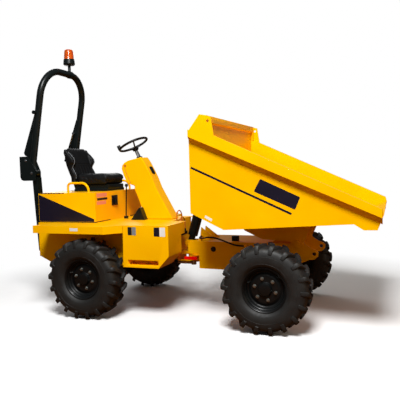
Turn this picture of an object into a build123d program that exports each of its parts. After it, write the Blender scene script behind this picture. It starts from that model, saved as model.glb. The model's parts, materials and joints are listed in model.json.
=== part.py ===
# Articulated front-tip site dumper with a fold-down roll bar, in millimetres.
# Origin: on the ground, midway between the axles. +X is forwards, +Y is to the driver's left, +Z is up.
from build123d import *
from math import atan2, cos, pi, radians, sin, sqrt, tan
import os

# ---------------------------------------------------------------- driving dimensions
HALF_LENGTH = 2015.0          # lip of the skip to the centre, and roll bar housing to the centre
WHEELBASE = 1950.0
TRACK = 1540.0

TYRE_RADIUS = 422.5           # to the tips of the lugs
TYRE_WIDTH = 290.0
LUG_HEIGHT = 26.0
LUG_COUNT = 18                # in each of the two rows
LUG_WIDTH = 40.0
LUG_SLANT = 27.0              # degrees back from straight across
LUG_START = 8.0               # from the tread's middle
TYRE_FACETS = 18
BEAD_RADIUS = 196.0
RIM_WIDTH = 236.0
RIM_WALL = 8.0
FLANGE_HEIGHT = 16.0
DISC_THICKNESS = 12.0
DISC_OFFSET = 58.0            # outwards from the middle of the rim
HUB_RADIUS = 84.0
HUB_REACH = 68.0              # inwards from the middle of the rim
HUB_CAP = 34.0
HUB_CAP_RADIUS = 68.0
SPINDLE_REACH = 40.0          # outwards from the middle of the rim
NUT_HEIGHT = 28.0
STUD_COUNT = 6
STUD_CIRCLE = 102.5
STUD_RADIUS = 11.0
SPINDLE_RADIUS = 34.0

RUNNING = 0.3                 # radial clearance at pins, shafts and rods
SEAT_GAP = 0.3                # between a resting face and its seat
MOVING_GAP = 6.0              # beside pieces that swing past each other

AXLE_TUBE_RADIUS = 58.0
AXLE_CASE_RADIUS = 132.0
AXLE_PAD_LENGTH = 170.0

FLOOR_Z = 985.0               # top of floor and mudguards
FRAME_BOTTOM_Z = TYRE_RADIUS + 102.5
SHEET = 6.0
PLATE = 12.0
THICK_PLATE = 20.0

PIVOT_X = -30.0               # steering pin between the two frames
PIN_RADIUS = 25.0
OSCILLATION_Z = FRAME_BOTTOM_Z + 37   # height of the fore-and-aft shaft of the centre pivot
YOKE_HEIGHT = 64.0
LUG_PLATE = 25.0
SHAFT_RADIUS = 50.0

TIP_X, TIP_Z = 1190.0, 790.0  # skip pivot
TIP_PIN_RADIUS = 22.0

RAM_FOOT = (-85.0, 715.0)     # lower pin of the tipping ram, X and Z
RAM_HEAD = (90.0, 1280.0)     # upper pin of the tipping ram on the lowered skip
RAM_EYE_WIDTH = 76.0

SKIP_SIDE_Y = 823.0           # outer face of a skip side
RIM_Y = 880.0                 # outer face of the skip's rim
SKIP_SHEET = 8.0

ROPS_Y = 425.0                # centre of a roll bar leg
ROPS_TUBE_RADIUS = 40.0
ROPS_HINGE = (165.0 - HALF_LENGTH, 1550.0)
LEG_OFFSET = 61.0             # a leg's centre line behind the hinge, at the hinge's height
LEG_FOOT_Z = 1600.0
ROPS_LEAN = 10.3              # degrees the hoop leans forwards
HOOP_TOP_Z = 2760.0           # centre of the tube at the top
HOOP_BEND = 316.0

axle_x = WHEELBASE / 2
wheel_y = TRACK / 2

os.makedirs("parts", exist_ok=True)


# ---------------------------------------------------------------- shared forms
def side_plate(outline, y_low, y_high):
    """A flat plate standing fore and aft: its outline as (x, z) points, between two values of y."""
    with BuildPart() as plate:
        with BuildSketch(Plane.XZ.offset(-y_low)):
            with BuildLine():
                Polyline(*outline, close=True)
            make_face()
        extrude(amount=-(y_high - y_low))
    return plate.part


def cross_plate(outline, x_low, x_high):
    """A flat plate standing across: its outline as (y, z) points, between two values of x."""
    with BuildPart() as plate:
        with BuildSketch(Plane.YZ.offset(x_low)):
            with BuildLine():
                Polyline(*outline, close=True)
            make_face()
        extrude(amount=x_high - x_low)
    return plate.part


def flat_plate(outline, z_low, z_high):
    """A level plate: its outline as (x, y) points, between two heights."""
    with BuildPart() as plate:
        with BuildSketch(Plane.XY.offset(z_low)):
            with BuildLine():
                Polyline(*outline, close=True)
            make_face()
        extrude(amount=z_high - z_low)
    return plate.part


def block(x_range, y_range, z_range):
    """A plain block between two values on each axis."""
    sizes = [high - low for low, high in (x_range, y_range, z_range)]
    centre = [(high + low) / 2 for low, high in (x_range, y_range, z_range)]
    with BuildPart() as solid:
        with Locations(Vector(*centre)):
            Box(*sizes)
    return solid.part


def rod(start, end, radius):
    """A round bar between two points."""
    axis = Vector(*end) - Vector(*start)
    with BuildPart() as bar:
        with BuildSketch(Plane(origin=start, z_dir=axis)):
            Circle(radius)
        extrude(amount=axis.length)
    return bar.part


def bent_bar(points, radii, radius):
    """A round bar along straight runs joined by arcs."""
    with BuildPart() as bar:
        with BuildLine() as path:
            FilletPolyline(*points, radius=radii)
        start = path.line @ 0
        with BuildSketch(Plane(origin=start, z_dir=path.line % 0)):
            Circle(radius)
        sweep()
    return bar.part


def finish(part, name):
    """Label a finished piece and write it out under the same name."""
    part.label = name
    export_step(part, f"parts/{name}.step")


# ---------------------------------------------------------------- wheels
half_rim = RIM_WIDTH / 2
half_tyre = TYRE_WIDTH / 2
carcass_radius = TYRE_RADIUS - LUG_HEIGHT
bore_inradius = BEAD_RADIUS + RUNNING
half_bead = half_rim - RIM_WALL - RUNNING
flange_top = BEAD_RADIUS + FLANGE_HEIGHT + 3.0

# y from the middle, radius: the tyre's section from the tread to the bead, the same on both sides
TYRE_SECTION = [
    (half_tyre - 24, carcass_radius - 10),
    (half_tyre, carcass_radius - 72),
    (half_tyre - 12, flange_top + 26),
    (half_bead, flange_top),
]


def on_facet(y, radius, angle):
    """A point on the tyre's faceted ring."""
    return Vector(radius * sin(angle), y, radius * cos(angle))


def tangent_drop(radius, offset):
    """Height above the axle of a point on a circle, a distance along the tangent from its top."""
    return sqrt(radius ** 2 - offset ** 2)


def make_lug(side):
    """One lug at the top of a wheel standing at the origin: a bar that slants back from the tread's middle
    and runs down over the shoulder."""
    across = Vector(-sin(radians(LUG_SLANT)), side * cos(radians(LUG_SLANT)), 0)
    stretch = 1 / cos(radians(LUG_SLANT))
    shift = sin(radians(LUG_SLANT))
    shoulder = (half_tyre - 26) * stretch
    edge = (half_tyre - shift * LUG_WIDTH / 2) * stretch
    outline = [
        (LUG_START, TYRE_RADIUS - LUG_HEIGHT - 12),
        (LUG_START, TYRE_RADIUS),
        (shoulder, tangent_drop(TYRE_RADIUS - 8, shoulder * shift + LUG_WIDTH / 2)),
        (edge, tangent_drop(TYRE_RADIUS - 70, edge * shift + LUG_WIDTH / 2)),
        (edge - 34, TYRE_RADIUS - 118),
    ]
    with BuildPart() as lug:
        with BuildSketch(Plane(origin=(0, 0, 0), x_dir=across, z_dir=across.cross(Vector(0, 0, 1)))):
            with BuildLine():
                Polyline(*outline, close=True)
            make_face()
        extrude(amount=LUG_WIDTH / 2, both=True)
    return lug.part


def make_tyre():
    """A tyre standing round the origin: a closed faceted ring with two rows of slanting lugs."""
    step = 360 / TYRE_FACETS
    turn = radians(step / 2)
    grow = 1 / cos(turn)
    section = [(-across, radius) for across, radius in reversed(TYRE_SECTION)] + TYRE_SECTION
    ring_faces = []
    for index in range(TYRE_FACETS):
        start, end = radians(index * step), radians((index + 1) * step)
        closed = [(-half_bead, bore_inradius), *section, (half_bead, bore_inradius)]
        for (y1, r1), (y2, r2) in zip(closed, closed[1:] + closed[:1]):
            corners = [on_facet(y1, r1 * grow, start), on_facet(y2, r2 * grow, start),
                       on_facet(y2, r2 * grow, end), on_facet(y1, r1 * grow, end)]
            ring_faces.append(Face(Wire.make_polygon(corners)))
    ring = Solid(Shell(ring_faces))
    pitch = 360 / LUG_COUNT
    with BuildPart() as tyre:
        add(ring)
        for side in (-1, 1):
            lug = make_lug(side)
            for index in range(LUG_COUNT):
                add(lug.rotate(Axis.Y, (index + (side + 1) / 4) * pitch))
    return tyre.part


def make_rim(x, y, outward):
    """A steel rim with its disc, hub and nuts. outward is +1 on the left and -1 on the right."""
    disc_y = y + outward * DISC_OFFSET
    hub_inner = y - outward * HUB_REACH
    cap_end = disc_y + outward * HUB_CAP
    with BuildPart() as rim:
        with BuildSketch(Plane.YZ.offset(x)):
            with Locations((y, TYRE_RADIUS + BEAD_RADIUS - RIM_WALL / 2)):
                Rectangle(RIM_WIDTH, RIM_WALL)
            with Locations((y + half_rim - RIM_WALL / 2, TYRE_RADIUS + BEAD_RADIUS + FLANGE_HEIGHT / 2),
                           (y - half_rim + RIM_WALL / 2, TYRE_RADIUS + BEAD_RADIUS + FLANGE_HEIGHT / 2)):
                Rectangle(RIM_WALL, FLANGE_HEIGHT)
            with Locations((disc_y, TYRE_RADIUS + (BEAD_RADIUS - RIM_WALL) / 2)):
                Rectangle(DISC_THICKNESS, BEAD_RADIUS - RIM_WALL)
            with Locations(((hub_inner + disc_y) / 2, TYRE_RADIUS + HUB_RADIUS / 2)):
                Rectangle(abs(disc_y - hub_inner), HUB_RADIUS)
            with Locations(((disc_y + cap_end) / 2, TYRE_RADIUS + HUB_CAP_RADIUS / 2)):
                Rectangle(abs(cap_end - disc_y), HUB_CAP_RADIUS)
        revolve(axis=Axis((x, 0, TYRE_RADIUS), (0, 1, 0)))
        add(rod((x, hub_inner - outward, TYRE_RADIUS), (x, y + outward * (SPINDLE_REACH + 2), TYRE_RADIUS),
                SPINDLE_RADIUS + RUNNING), mode=Mode.SUBTRACT)
        with BuildSketch(Plane(origin=(x, disc_y, TYRE_RADIUS), z_dir=(0, outward, 0))):
            with PolarLocations(STUD_CIRCLE, STUD_COUNT):
                RegularPolygon(STUD_RADIUS, 6)
        extrude(amount=NUT_HEIGHT)
    return rim.part


# name, x, y, side: one row for each wheel
WHEELS = [
    ("front_left", axle_x, wheel_y, 1),
    ("front_right", axle_x, -wheel_y, -1),
    ("rear_left", -axle_x, wheel_y, 1),
    ("rear_right", -axle_x, -wheel_y, -1),
]
tyre_form = make_tyre()
for wheel_name, wheel_x, wheel_centre, side in WHEELS:
    finish(tyre_form.moved(Location((wheel_x, wheel_centre, TYRE_RADIUS))), f"tyre_{wheel_name}")
    finish(make_rim(wheel_x, wheel_centre, side), f"rim_{wheel_name}")


# ---------------------------------------------------------------- axles
hub_face_y = wheel_y - HUB_REACH
axle_end_y = hub_face_y - MOVING_GAP
AXLE_PAD_TOP = TYRE_RADIUS + 62.5
AXLE_PAD_Y = (235.0, 330.0)


def make_axle(x):
    """A driven axle: a case in the middle, tubes, spring-less pads under the frame and a spindle each end."""
    with BuildPart() as axle:
        add(rod((x, -axle_end_y, TYRE_RADIUS), (x, axle_end_y, TYRE_RADIUS), AXLE_TUBE_RADIUS))
        with Locations((x, 0, TYRE_RADIUS)):
            Sphere(AXLE_CASE_RADIUS)
        for side in (-1, 1):
            low, high = sorted((side * AXLE_PAD_Y[0], side * AXLE_PAD_Y[1]))
            add(block((x - AXLE_PAD_LENGTH / 2, x + AXLE_PAD_LENGTH / 2), (low, high),
                      (TYRE_RADIUS, AXLE_PAD_TOP)))
            add(rod((x, side * (axle_end_y - 30), TYRE_RADIUS), (x, side * axle_end_y, TYRE_RADIUS),
                    HUB_RADIUS - 6))
            add(rod((x, side * axle_end_y, TYRE_RADIUS), (x, side * (wheel_y + SPINDLE_REACH), TYRE_RADIUS),
                    SPINDLE_RADIUS))
    return axle.part


finish(make_axle(axle_x), "front_axle")
finish(make_axle(-axle_x), "rear_axle")


# ---------------------------------------------------------------- rear frame
ARCH_Y = 550.0                # outer face of the plate inside each rear wheel
RAIL_Y = 300.0                # outer face of the narrow front part of the rear frame
REAR_X = 275.0 - HALF_LENGTH  # back of the rear frame
WAIST_X = -560.0              # where the frame narrows
FRAME_FRONT_X = -195.0
deck_z = FLOOR_Z - SHEET
pivot_low = OSCILLATION_Z - YOKE_HEIGHT / 2 - 2
pivot_high = OSCILLATION_Z + YOKE_HEIGHT / 2 + 2

arch_outline = [(REAR_X, 590), (REAR_X + 140, FRAME_BOTTOM_Z), (-axle_x - 120, FRAME_BOTTOM_Z),
                (-axle_x - 100, AXLE_PAD_TOP),
                (-axle_x + 100, AXLE_PAD_TOP), (-axle_x + 120, FRAME_BOTTOM_Z), (WAIST_X, FRAME_BOTTOM_Z),
                (WAIST_X, deck_z),
                (REAR_X, deck_z)]
RAIL_REAR_X = -720.0
rail_outline = [(RAIL_REAR_X, FRAME_BOTTOM_Z), (FRAME_FRONT_X, FRAME_BOTTOM_Z), (FRAME_FRONT_X, deck_z),
                (RAIL_REAR_X, deck_z)]
hitch_outline = [(FRAME_FRONT_X, -130), (PIVOT_X - 10, -70), (PIVOT_X + 40, -62), (PIVOT_X + 62, -35),
                 (PIVOT_X + 62, 35), (PIVOT_X + 40, 62), (PIVOT_X - 10, 70), (FRAME_FRONT_X, 130)]
wall_foot_z = pivot_high + LUG_PLATE
front_wall = [(-RAIL_Y, wall_foot_z + 20), (-130, wall_foot_z), (-130, pivot_low - LUG_PLATE),
              (130, pivot_low - LUG_PLATE), (130, wall_foot_z), (RAIL_Y, wall_foot_z + 20),
              (RAIL_Y, deck_z), (-RAIL_Y, deck_z)]

STEER_RAM_FOOT = (-660.0, -230.0)
STEER_RAM_HEAD = (PIVOT_X + 60.0, -210.0)
STEER_RAM_Z = OSCILLATION_Z - 39
STEER_EYE_HALF = 22.0
STEER_PIN_RADIUS = 12.0

ENGINE_X = (-1500.0, -1010.0)
ENGINE_Z = (FRAME_BOTTOM_Z + 75, 1160.0)
BEARERS_X = (-1440.0, -1070.0)

with BuildPart() as rear_frame:
    for side in (-1, 1):
        add(side_plate(arch_outline, *sorted((side * (ARCH_Y - PLATE), side * ARCH_Y))))
        add(side_plate(rail_outline, *sorted((side * (RAIL_Y - PLATE), side * RAIL_Y))))
        add(block((WAIST_X - PLATE, WAIST_X), sorted((side * (RAIL_Y - PLATE), side * ARCH_Y)),
                  (FRAME_BOTTOM_Z, deck_z)))
        add(block((-axle_x - 85, -axle_x + 85), sorted((side * AXLE_PAD_Y[0], side * ARCH_Y)),
                  (AXLE_PAD_TOP, AXLE_PAD_TOP + THICK_PLATE)))
    add(cross_plate([(-ARCH_Y, 590), (ARCH_Y, 590), (ARCH_Y, deck_z), (-ARCH_Y, deck_z)], REAR_X - PLATE,
                    REAR_X))
    add(cross_plate(front_wall, FRAME_FRONT_X - PLATE, FRAME_FRONT_X))
    for bearer_x in BEARERS_X:
        add(block((bearer_x - 30, bearer_x + 30), (-ARCH_Y, ARCH_Y), (ENGINE_Z[0] - 40, ENGINE_Z[0])))
    for low in (pivot_low - LUG_PLATE, pivot_high):
        add(flat_plate(hitch_outline, low, low + LUG_PLATE))
    with Locations((PIVOT_X, 0, OSCILLATION_Z)):
        Cylinder(PIN_RADIUS + 0.1, 400, mode=Mode.SUBTRACT)
    for low in (STEER_RAM_Z - STEER_EYE_HALF - 14, STEER_RAM_Z + STEER_EYE_HALF + 2):
        add(block((STEER_RAM_FOOT[0] - 45, STEER_RAM_FOOT[0] + 45), (-RAIL_Y, STEER_RAM_FOOT[1] + 35),
                  (low, low + 12)))
    add(block((STEER_RAM_FOOT[0] - 45, STEER_RAM_FOOT[0] + 45), (-RAIL_Y, -RAIL_Y + PLATE),
              (STEER_RAM_Z - 43, STEER_RAM_Z + 77)))
    add(rod((*STEER_RAM_FOOT, STEER_RAM_Z - STEER_EYE_HALF - 20),
            (*STEER_RAM_FOOT, STEER_RAM_Z + STEER_EYE_HALF + 20),
            STEER_PIN_RADIUS))
finish(rear_frame.part, "rear_frame")

# hydraulic junction on the front wall, with two looped hoses between its upright fittings
VALVE_Y = (-190.0, -10.0)
VALVE_Z = (815.0, 850.0)
VALVE_DEPTH = 78.0
FITTING_RADIUS = 10.0
FITTING_TOP_Z = 878.0
HOSE_RADIUS = 6.0
HOSE_HALF_SPAN = 74.0
HOSE_LOOPS = [  # name, x, height of the loop's top, share of the rise in its first run
    ("valve_hose_1", FRAME_FRONT_X + 20, 1086.0, 0.32),
    ("valve_hose_2", FRAME_FRONT_X + 56, 1012.0, 0.25),
]
valve_centre_y = sum(VALVE_Y) / 2
with BuildPart() as valve_block:
    add(block((FRAME_FRONT_X, FRAME_FRONT_X + VALVE_DEPTH), VALVE_Y, VALVE_Z))
    for hose_name, hose_x, loop_top, first_share in HOSE_LOOPS:
        for across in (-HOSE_HALF_SPAN, HOSE_HALF_SPAN):
            add(rod((hose_x, valve_centre_y + across, VALVE_Z[1] - 1),
                    (hose_x, valve_centre_y + across, FITTING_TOP_Z),
                    FITTING_RADIUS))
finish(valve_block.part, "valve_block")


def cord_radii(points):
    """The bend radius at each inner point of a cord's route: as large as its two runs allow."""
    places = [Vector(*point) for point in points]
    radii = []
    for before, here, after in zip(places, places[1:], places[2:]):
        turn = radians((here - before).get_angle(after - here))
        radii.append(0.45 * min((here - before).length, (after - here).length) / tan(turn / 2))
    return radii


def make_cord(points, radius, name):
    """A hose along its route, written out with its length and tightest bend printed."""
    radii = cord_radii(points)
    hose = bent_bar(points, radii, radius)
    print(name, "bends", [round(value) for value in radii], "length",
          round(hose.volume / (pi * radius ** 2)))
    finish(hose, name)


for hose_name, hose_x, loop_top, first_share in HOSE_LOOPS:
    span = HOSE_HALF_SPAN
    first_z = FITTING_TOP_Z + first_share * (loop_top - FITTING_TOP_Z)
    make_cord([(hose_x, valve_centre_y - span, FITTING_TOP_Z),
               (hose_x, valve_centre_y - span, first_z),
               (hose_x - 3, valve_centre_y - span - 2, loop_top - 42),
               (hose_x - 5, valve_centre_y - 0.42 * span, loop_top),
               (hose_x - 4, valve_centre_y + 0.42 * span, loop_top + 2),
               (hose_x - 2, valve_centre_y + span + 1, loop_top - 42),
               (hose_x, valve_centre_y + span, first_z),
               (hose_x, valve_centre_y + span, FITTING_TOP_Z)], HOSE_RADIUS, hose_name)

with BuildPart() as steering_pin:
    add(rod((PIVOT_X, 0, pivot_low - LUG_PLATE - 8), (PIVOT_X, 0, pivot_high + LUG_PLATE), PIN_RADIUS))
    add(rod((PIVOT_X, 0, pivot_high + LUG_PLATE), (PIVOT_X, 0, pivot_high + LUG_PLATE + 10),
            PIN_RADIUS + 10))
finish(steering_pin.part, "steering_pin")

with BuildPart() as engine:
    add(block(ENGINE_X, (-230, 230), ENGINE_Z))
finish(engine.part, "engine")

# ---------------------------------------------------------------- platform
FENDER_Y = 900.0              # outer face of a mudguard
FENDER_REAR_X = REAR_X + 183
FENDER_FRONT_X = -690.0
SKIRT_Z = 905.0               # lower edge of a mudguard's skirt
BONNET_Y = 550.0              # outer face of the engine cover
BONNET_FRONT_X = -985.0
TANK_Y = 742.0                # outer face of a side tank
TANK_FRONT_X = -32.0
TANK_REAR_X = -548.0
LEFT_TANK_Y = 600.0           # the left tank is a short one
LEFT_TANK_FRONT_X = -430.0
FLOOR_GAP_Y = 250.0           # half width of the open notch at the front of the floor


def make_fender(side):
    """A mudguard: a level plate from the engine cover outwards, with a turned-down edge round its outside."""
    inner = side * (ARCH_Y - PLATE)
    outline = [(FENDER_REAR_X, inner), (FENDER_REAR_X, side * FENDER_Y), (FENDER_FRONT_X, side * FENDER_Y),
               (TANK_REAR_X, side * TANK_Y), (TANK_REAR_X, inner)]
    hollow = [(FENDER_REAR_X - 1, inner), (FENDER_REAR_X - 1, side * (FENDER_Y - SHEET)),
              (FENDER_FRONT_X - SHEET / 2, side * (FENDER_Y - SHEET)),
              (TANK_REAR_X - SHEET, side * (TANK_Y - SHEET)),
              (TANK_REAR_X - SHEET, inner)]
    with BuildPart() as fender:
        add(flat_plate(outline, SKIRT_Z, FLOOR_Z))
        add(flat_plate(hollow, SKIRT_Z - 1, deck_z), mode=Mode.SUBTRACT)
        add(block((TANK_REAR_X - SHEET - 1, TANK_REAR_X + 1), sorted((inner, side * (TANK_Y + 1))),
                  (SKIRT_Z - 1, deck_z)), mode=Mode.SUBTRACT)
        add(block((REAR_X, FENDER_REAR_X), sorted((inner, side * ARCH_Y)), (deck_z, FLOOR_Z)))
    return fender.part


finish(make_fender(1), "fender_left")
finish(make_fender(-1), "fender_right")

floor_outline = [(BONNET_FRONT_X - 15, -ARCH_Y + PLATE), (TANK_REAR_X, -ARCH_Y + PLATE),
                 (TANK_REAR_X, -TANK_Y),
                 (TANK_FRONT_X, -TANK_Y), (TANK_FRONT_X, -FLOOR_GAP_Y), (FRAME_FRONT_X, -FLOOR_GAP_Y),
                 (FRAME_FRONT_X, FLOOR_GAP_Y), (TANK_FRONT_X, FLOOR_GAP_Y), (TANK_FRONT_X, RAIL_Y + PLATE),
                 (LEFT_TANK_FRONT_X, RAIL_Y + PLATE), (LEFT_TANK_FRONT_X, LEFT_TANK_Y),
                 (TANK_REAR_X, LEFT_TANK_Y), (TANK_REAR_X, ARCH_Y - PLATE),
                 (BONNET_FRONT_X - 15, ARCH_Y - PLATE)]
with BuildPart() as floor_plate:
    add(flat_plate(floor_outline, deck_z, FLOOR_Z))
finish(floor_plate.part, "floor_plate")

TANK_BOTTOM_Z = FRAME_BOTTOM_Z + 20
TANK_NOTCH_X = -165.0         # the tank steps outwards here to let the front frame swing
TANK_NOTCH_Y = 400.0
TANK_NOTCH_Z = 860.0
STEP_X = (-495.0, -150.0)
STEP_Z = (575.0, 625.0)
STEP_DEPTH = 120.0
right_tank_outline = [(TANK_REAR_X, deck_z), (TANK_REAR_X - 8, TANK_BOTTOM_Z), (-148, TANK_BOTTOM_Z),
                      (TANK_FRONT_X, 672), (TANK_FRONT_X, deck_z)]
left_tank_outline = [(TANK_REAR_X, deck_z), (TANK_REAR_X - 8, TANK_BOTTOM_Z),
                     (LEFT_TANK_FRONT_X - 30, TANK_BOTTOM_Z), (LEFT_TANK_FRONT_X, TANK_BOTTOM_Z + 40),
                     (LEFT_TANK_FRONT_X, deck_z)]
with BuildPart() as tank_left:
    add(side_plate(left_tank_outline, RAIL_Y, LEFT_TANK_Y))
finish(tank_left.part, "tank_left")

# the right tank has a foothold pressed into its outer face
with BuildPart() as tank_right:
    add(side_plate(right_tank_outline, -TANK_Y, -RAIL_Y))
    add(block(STEP_X, (-TANK_Y - 1, -TANK_Y + STEP_DEPTH), STEP_Z), mode=Mode.SUBTRACT)
    add(block((TANK_NOTCH_X, TANK_FRONT_X + 1), (-TANK_NOTCH_Y, -RAIL_Y + 1), (TANK_BOTTOM_Z - 1, TANK_NOTCH_Z)),
        mode=Mode.SUBTRACT)
finish(tank_right.part, "tank_right")

# ---------------------------------------------------------------- controls
TOWER_HALF = 95.0
TOWER_TOP = ((-815.0, 1667.0), (-640.0, 1703.0))   # the sloping top, from the dash to the front
tower_outline = [(-603, FLOOR_Z), (-262, FLOOR_Z), (-400, 1238), (-462, 1348), (-512, 1476), (-598, 1640),
                 TOWER_TOP[1], TOWER_TOP[0], (-862, 1644), (-890, 1612), (-900, 1574), (-868, 1480),
                 (-838, 1422),
                 (-806, 1394), (-736, 1372), (-738, 1332), (-694, 1227)]
with BuildPart() as steering_tower:
    add(side_plate(tower_outline, -TOWER_HALF, TOWER_HALF))
finish(steering_tower.part, "steering_tower")

COLUMN_SHARE = 0.64           # where the column stands along the tower's top
COLUMN_LEAN = 25.0            # degrees back from upright
COLUMN_RADIUS = 20.0
COLLAR_RADIUS = 34.0
COLLAR_HEIGHT = 18.0
WHEEL_HEIGHT = 182.0          # along the column, from the tower to the plane of the rim
WHEEL_RADIUS = 170.0
WHEEL_GRIP = 14.0
GRIP_SIDES = 12               # flats round the rim's section
WHEEL_DISH = 60.0             # how far the hub lies below the rim
KNOB_RADIUS = 21.0            # spinner knob on the rim
KNOB_HEIGHT = 46.0
KNOB_ANGLE = 128.0            # round the rim
top_run = Vector(TOWER_TOP[1][0] - TOWER_TOP[0][0], 0, TOWER_TOP[1][1] - TOWER_TOP[0][1])
top_slope = atan2(top_run.Z, top_run.X)
column_dir = (-sin(radians(COLUMN_LEAN)), 0, cos(radians(COLUMN_LEAN)))
column_foot = (TOWER_TOP[0][0] + COLUMN_SHARE * top_run.X, 0, TOWER_TOP[0][1] + COLUMN_SHARE * top_run.Z)


def above_tower(height):
    """A point straight out from the tower's sloping top at the column's foot."""
    return (column_foot[0] - height * sin(top_slope), 0, column_foot[2] + height * cos(top_slope))


wheel_centre_point = tuple(column_foot[i] + WHEEL_HEIGHT * column_dir[i] for i in range(3))
wheel_hub = tuple(wheel_centre_point[i] - WHEEL_DISH * column_dir[i] for i in range(3))
with BuildPart() as steering_wheel:
    add(rod(column_foot, above_tower(COLLAR_HEIGHT), COLLAR_RADIUS))
    add(rod(above_tower(COLLAR_HEIGHT / 2), wheel_hub, COLUMN_RADIUS))
    with BuildSketch(Plane(origin=wheel_centre_point, x_dir=(0, 1, 0),
                           z_dir=(column_dir[2], 0, -column_dir[0]))):
        with Locations((WHEEL_RADIUS, 0)):
            RegularPolygon(WHEEL_GRIP, GRIP_SIDES, rotation=180 / GRIP_SIDES)
    revolve(axis=Axis(wheel_centre_point, column_dir))
    wheel_plane = Plane(origin=wheel_centre_point, x_dir=(0, 1, 0), z_dir=column_dir)
    with BuildSketch(wheel_plane.offset(-WHEEL_DISH - 14)):
        Circle(36)
    extrude(amount=30)
    for spoke_angle in (90, 210, 330):
        tip = wheel_plane.from_local_coords(
            Vector(WHEEL_RADIUS * cos(radians(spoke_angle)), WHEEL_RADIUS * sin(radians(spoke_angle)), 0))
        add(rod(wheel_hub, tuple(tip), 9))
    knob_foot, knob_top = (tuple(wheel_plane.from_local_coords(
        Vector(WHEEL_RADIUS * cos(radians(KNOB_ANGLE)), WHEEL_RADIUS * sin(radians(KNOB_ANGLE)), rise)))
        for rise in (0, KNOB_HEIGHT))
    add(rod(knob_foot, knob_top, KNOB_RADIUS))
finish(steering_wheel.part, "steering_wheel")

LEVERS = [  # x, y, height, lean in x: hand levers standing on the floor
    (-888.0, -38.0, 392.0, 17.0),
]
with BuildPart() as levers:
    for lever_x, lever_y, height, lean in LEVERS:
        top = (lever_x + lean, lever_y, FLOOR_Z + height)
        add(rod((lever_x, lever_y, FLOOR_Z), (lever_x, lever_y, FLOOR_Z + 30), 26))
        add(rod((lever_x, lever_y, FLOOR_Z + 20), top, 7))
        with Locations(top):
            Sphere(20)
finish(levers.part, "levers")

PEDALS = [  # centre y, half width, x of the heel, of the top edge and of the toe, height of the top edge
    (-165.0, 45.0, -733.0, -628.0, -560.0, 140.0),
    (165.0, 45.0, -690.0, -620.0, -560.0, 110.0),
]
with BuildPart() as pedals:
    for pedal_y, half, heel_x, top_x, toe_x, height in PEDALS:
        outline = [(heel_x, FLOOR_Z), (toe_x, FLOOR_Z), (top_x + 12, FLOOR_Z + height),
                   (top_x, FLOOR_Z + height)]
        add(side_plate(outline, pedal_y - half, pedal_y + half))
finish(pedals.part, "pedals")

# ---------------------------------------------------------------- roll bar
HOUSING_X = (-HALF_LENGTH, ROPS_HINGE[0] + 50)
HOUSING_Z = (1462.0, 1745.0)
CHEEK = 10.0
INNER_CHEEK = 8.0
LEG_GAP = 5.0                 # between a leg and the inboard cheek that it swings past
HOOP_INNER = ROPS_Y - ROPS_TUBE_RADIUS   # y of the inboard side of the hoop's legs
CHEEK_INNER = HOOP_INNER - LEG_GAP - INNER_CHEEK   # y of the inboard cheek's inboard face
CHEEK_OUTER = 508.0
POST_HALF = 34.0
STRUT_HALF = 8.0              # half width of a strut's eyes
STRUT_Y = CHEEK_INNER - STRUT_HALF - 7
STRUT_PIN_RADIUS = 8.0
STRUT_EYE_RADIUS = 16.0
STRUT_FOOT = (ROPS_HINGE[0] - 135, 1705.0)
STRUT_HEAD = (ROPS_HINGE[0], 2055.0)
HINGE_PIN_RADIUS = 16.0
BOSS_RADIUS = 38.0

POST_FOOT_X = REAR_X - 55
POST_HEAD_X = ROPS_HINGE[0] + 5
post_outline = [(POST_FOOT_X + POST_HALF, 600), (POST_FOOT_X - POST_HALF, 640),
                (POST_HEAD_X - POST_HALF, 1500),
                (POST_HEAD_X + POST_HALF, 1500)]
corner = 45.0
cheek_outline = [(HOUSING_X[0], HOUSING_Z[1]), (HOUSING_X[0], HOUSING_Z[0] + corner),
                 (HOUSING_X[0] + corner * 0.3, HOUSING_Z[0] + corner * 0.3),
                 (HOUSING_X[0] + corner, HOUSING_Z[0]),
                 (HOUSING_X[1], HOUSING_Z[0]), (HOUSING_X[1], HOUSING_Z[1] - 150),
                 (ROPS_HINGE[0] - 50, HOUSING_Z[1])]
inner_cheek_outline = [(HOUSING_X[0] + 5, HOUSING_Z[1]), (HOUSING_X[0] + 32, 1632),
                       (HOUSING_X[0] + 86, 1498),
                       (HOUSING_X[0] + 122, HOUSING_Z[0]), (ROPS_HINGE[0] + 24, HOUSING_Z[0]),
                       (ROPS_HINGE[0] + 24, ROPS_HINGE[1] + 20), (ROPS_HINGE[0] - 50, HOUSING_Z[1])]
with BuildPart() as rops_posts:
    for side in (-1, 1):
        add(side_plate(post_outline, *sorted((side * (ROPS_Y - 40), side * (ROPS_Y + 40)))))
        add(side_plate(inner_cheek_outline, *sorted((side * CHEEK_INNER,
                                                     side * (CHEEK_INNER + INNER_CHEEK)))))
        add(side_plate(cheek_outline, *sorted((side * (CHEEK_OUTER - CHEEK), side * CHEEK_OUTER))))
        add(block((ROPS_HINGE[0] - 35, ROPS_HINGE[0] + 24), sorted((side * CHEEK_INNER, side * CHEEK_OUTER)),
                  (HOUSING_Z[0], 1482)))
        for pad_z in (660, 900):
            add(block((ROPS_HINGE[0] + 20, REAR_X - PLATE),
                      sorted((side * (ROPS_Y - 40), side * (ROPS_Y + 40))),
                      (pad_z, pad_z + 60)))
        add(rod((ROPS_HINGE[0], side * CHEEK_INNER, ROPS_HINGE[1]),
                (ROPS_HINGE[0], side * CHEEK_OUTER, ROPS_HINGE[1]),
                HINGE_PIN_RADIUS))
        add(rod((STRUT_FOOT[0], side * (CHEEK_INNER + INNER_CHEEK / 2), STRUT_FOOT[1]),
                (STRUT_FOOT[0], side * (STRUT_Y - STRUT_HALF - 2), STRUT_FOOT[1]), STRUT_PIN_RADIUS))
finish(rops_posts.part, "rops_posts")

lean_tan = tan(radians(ROPS_LEAN))


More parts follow.
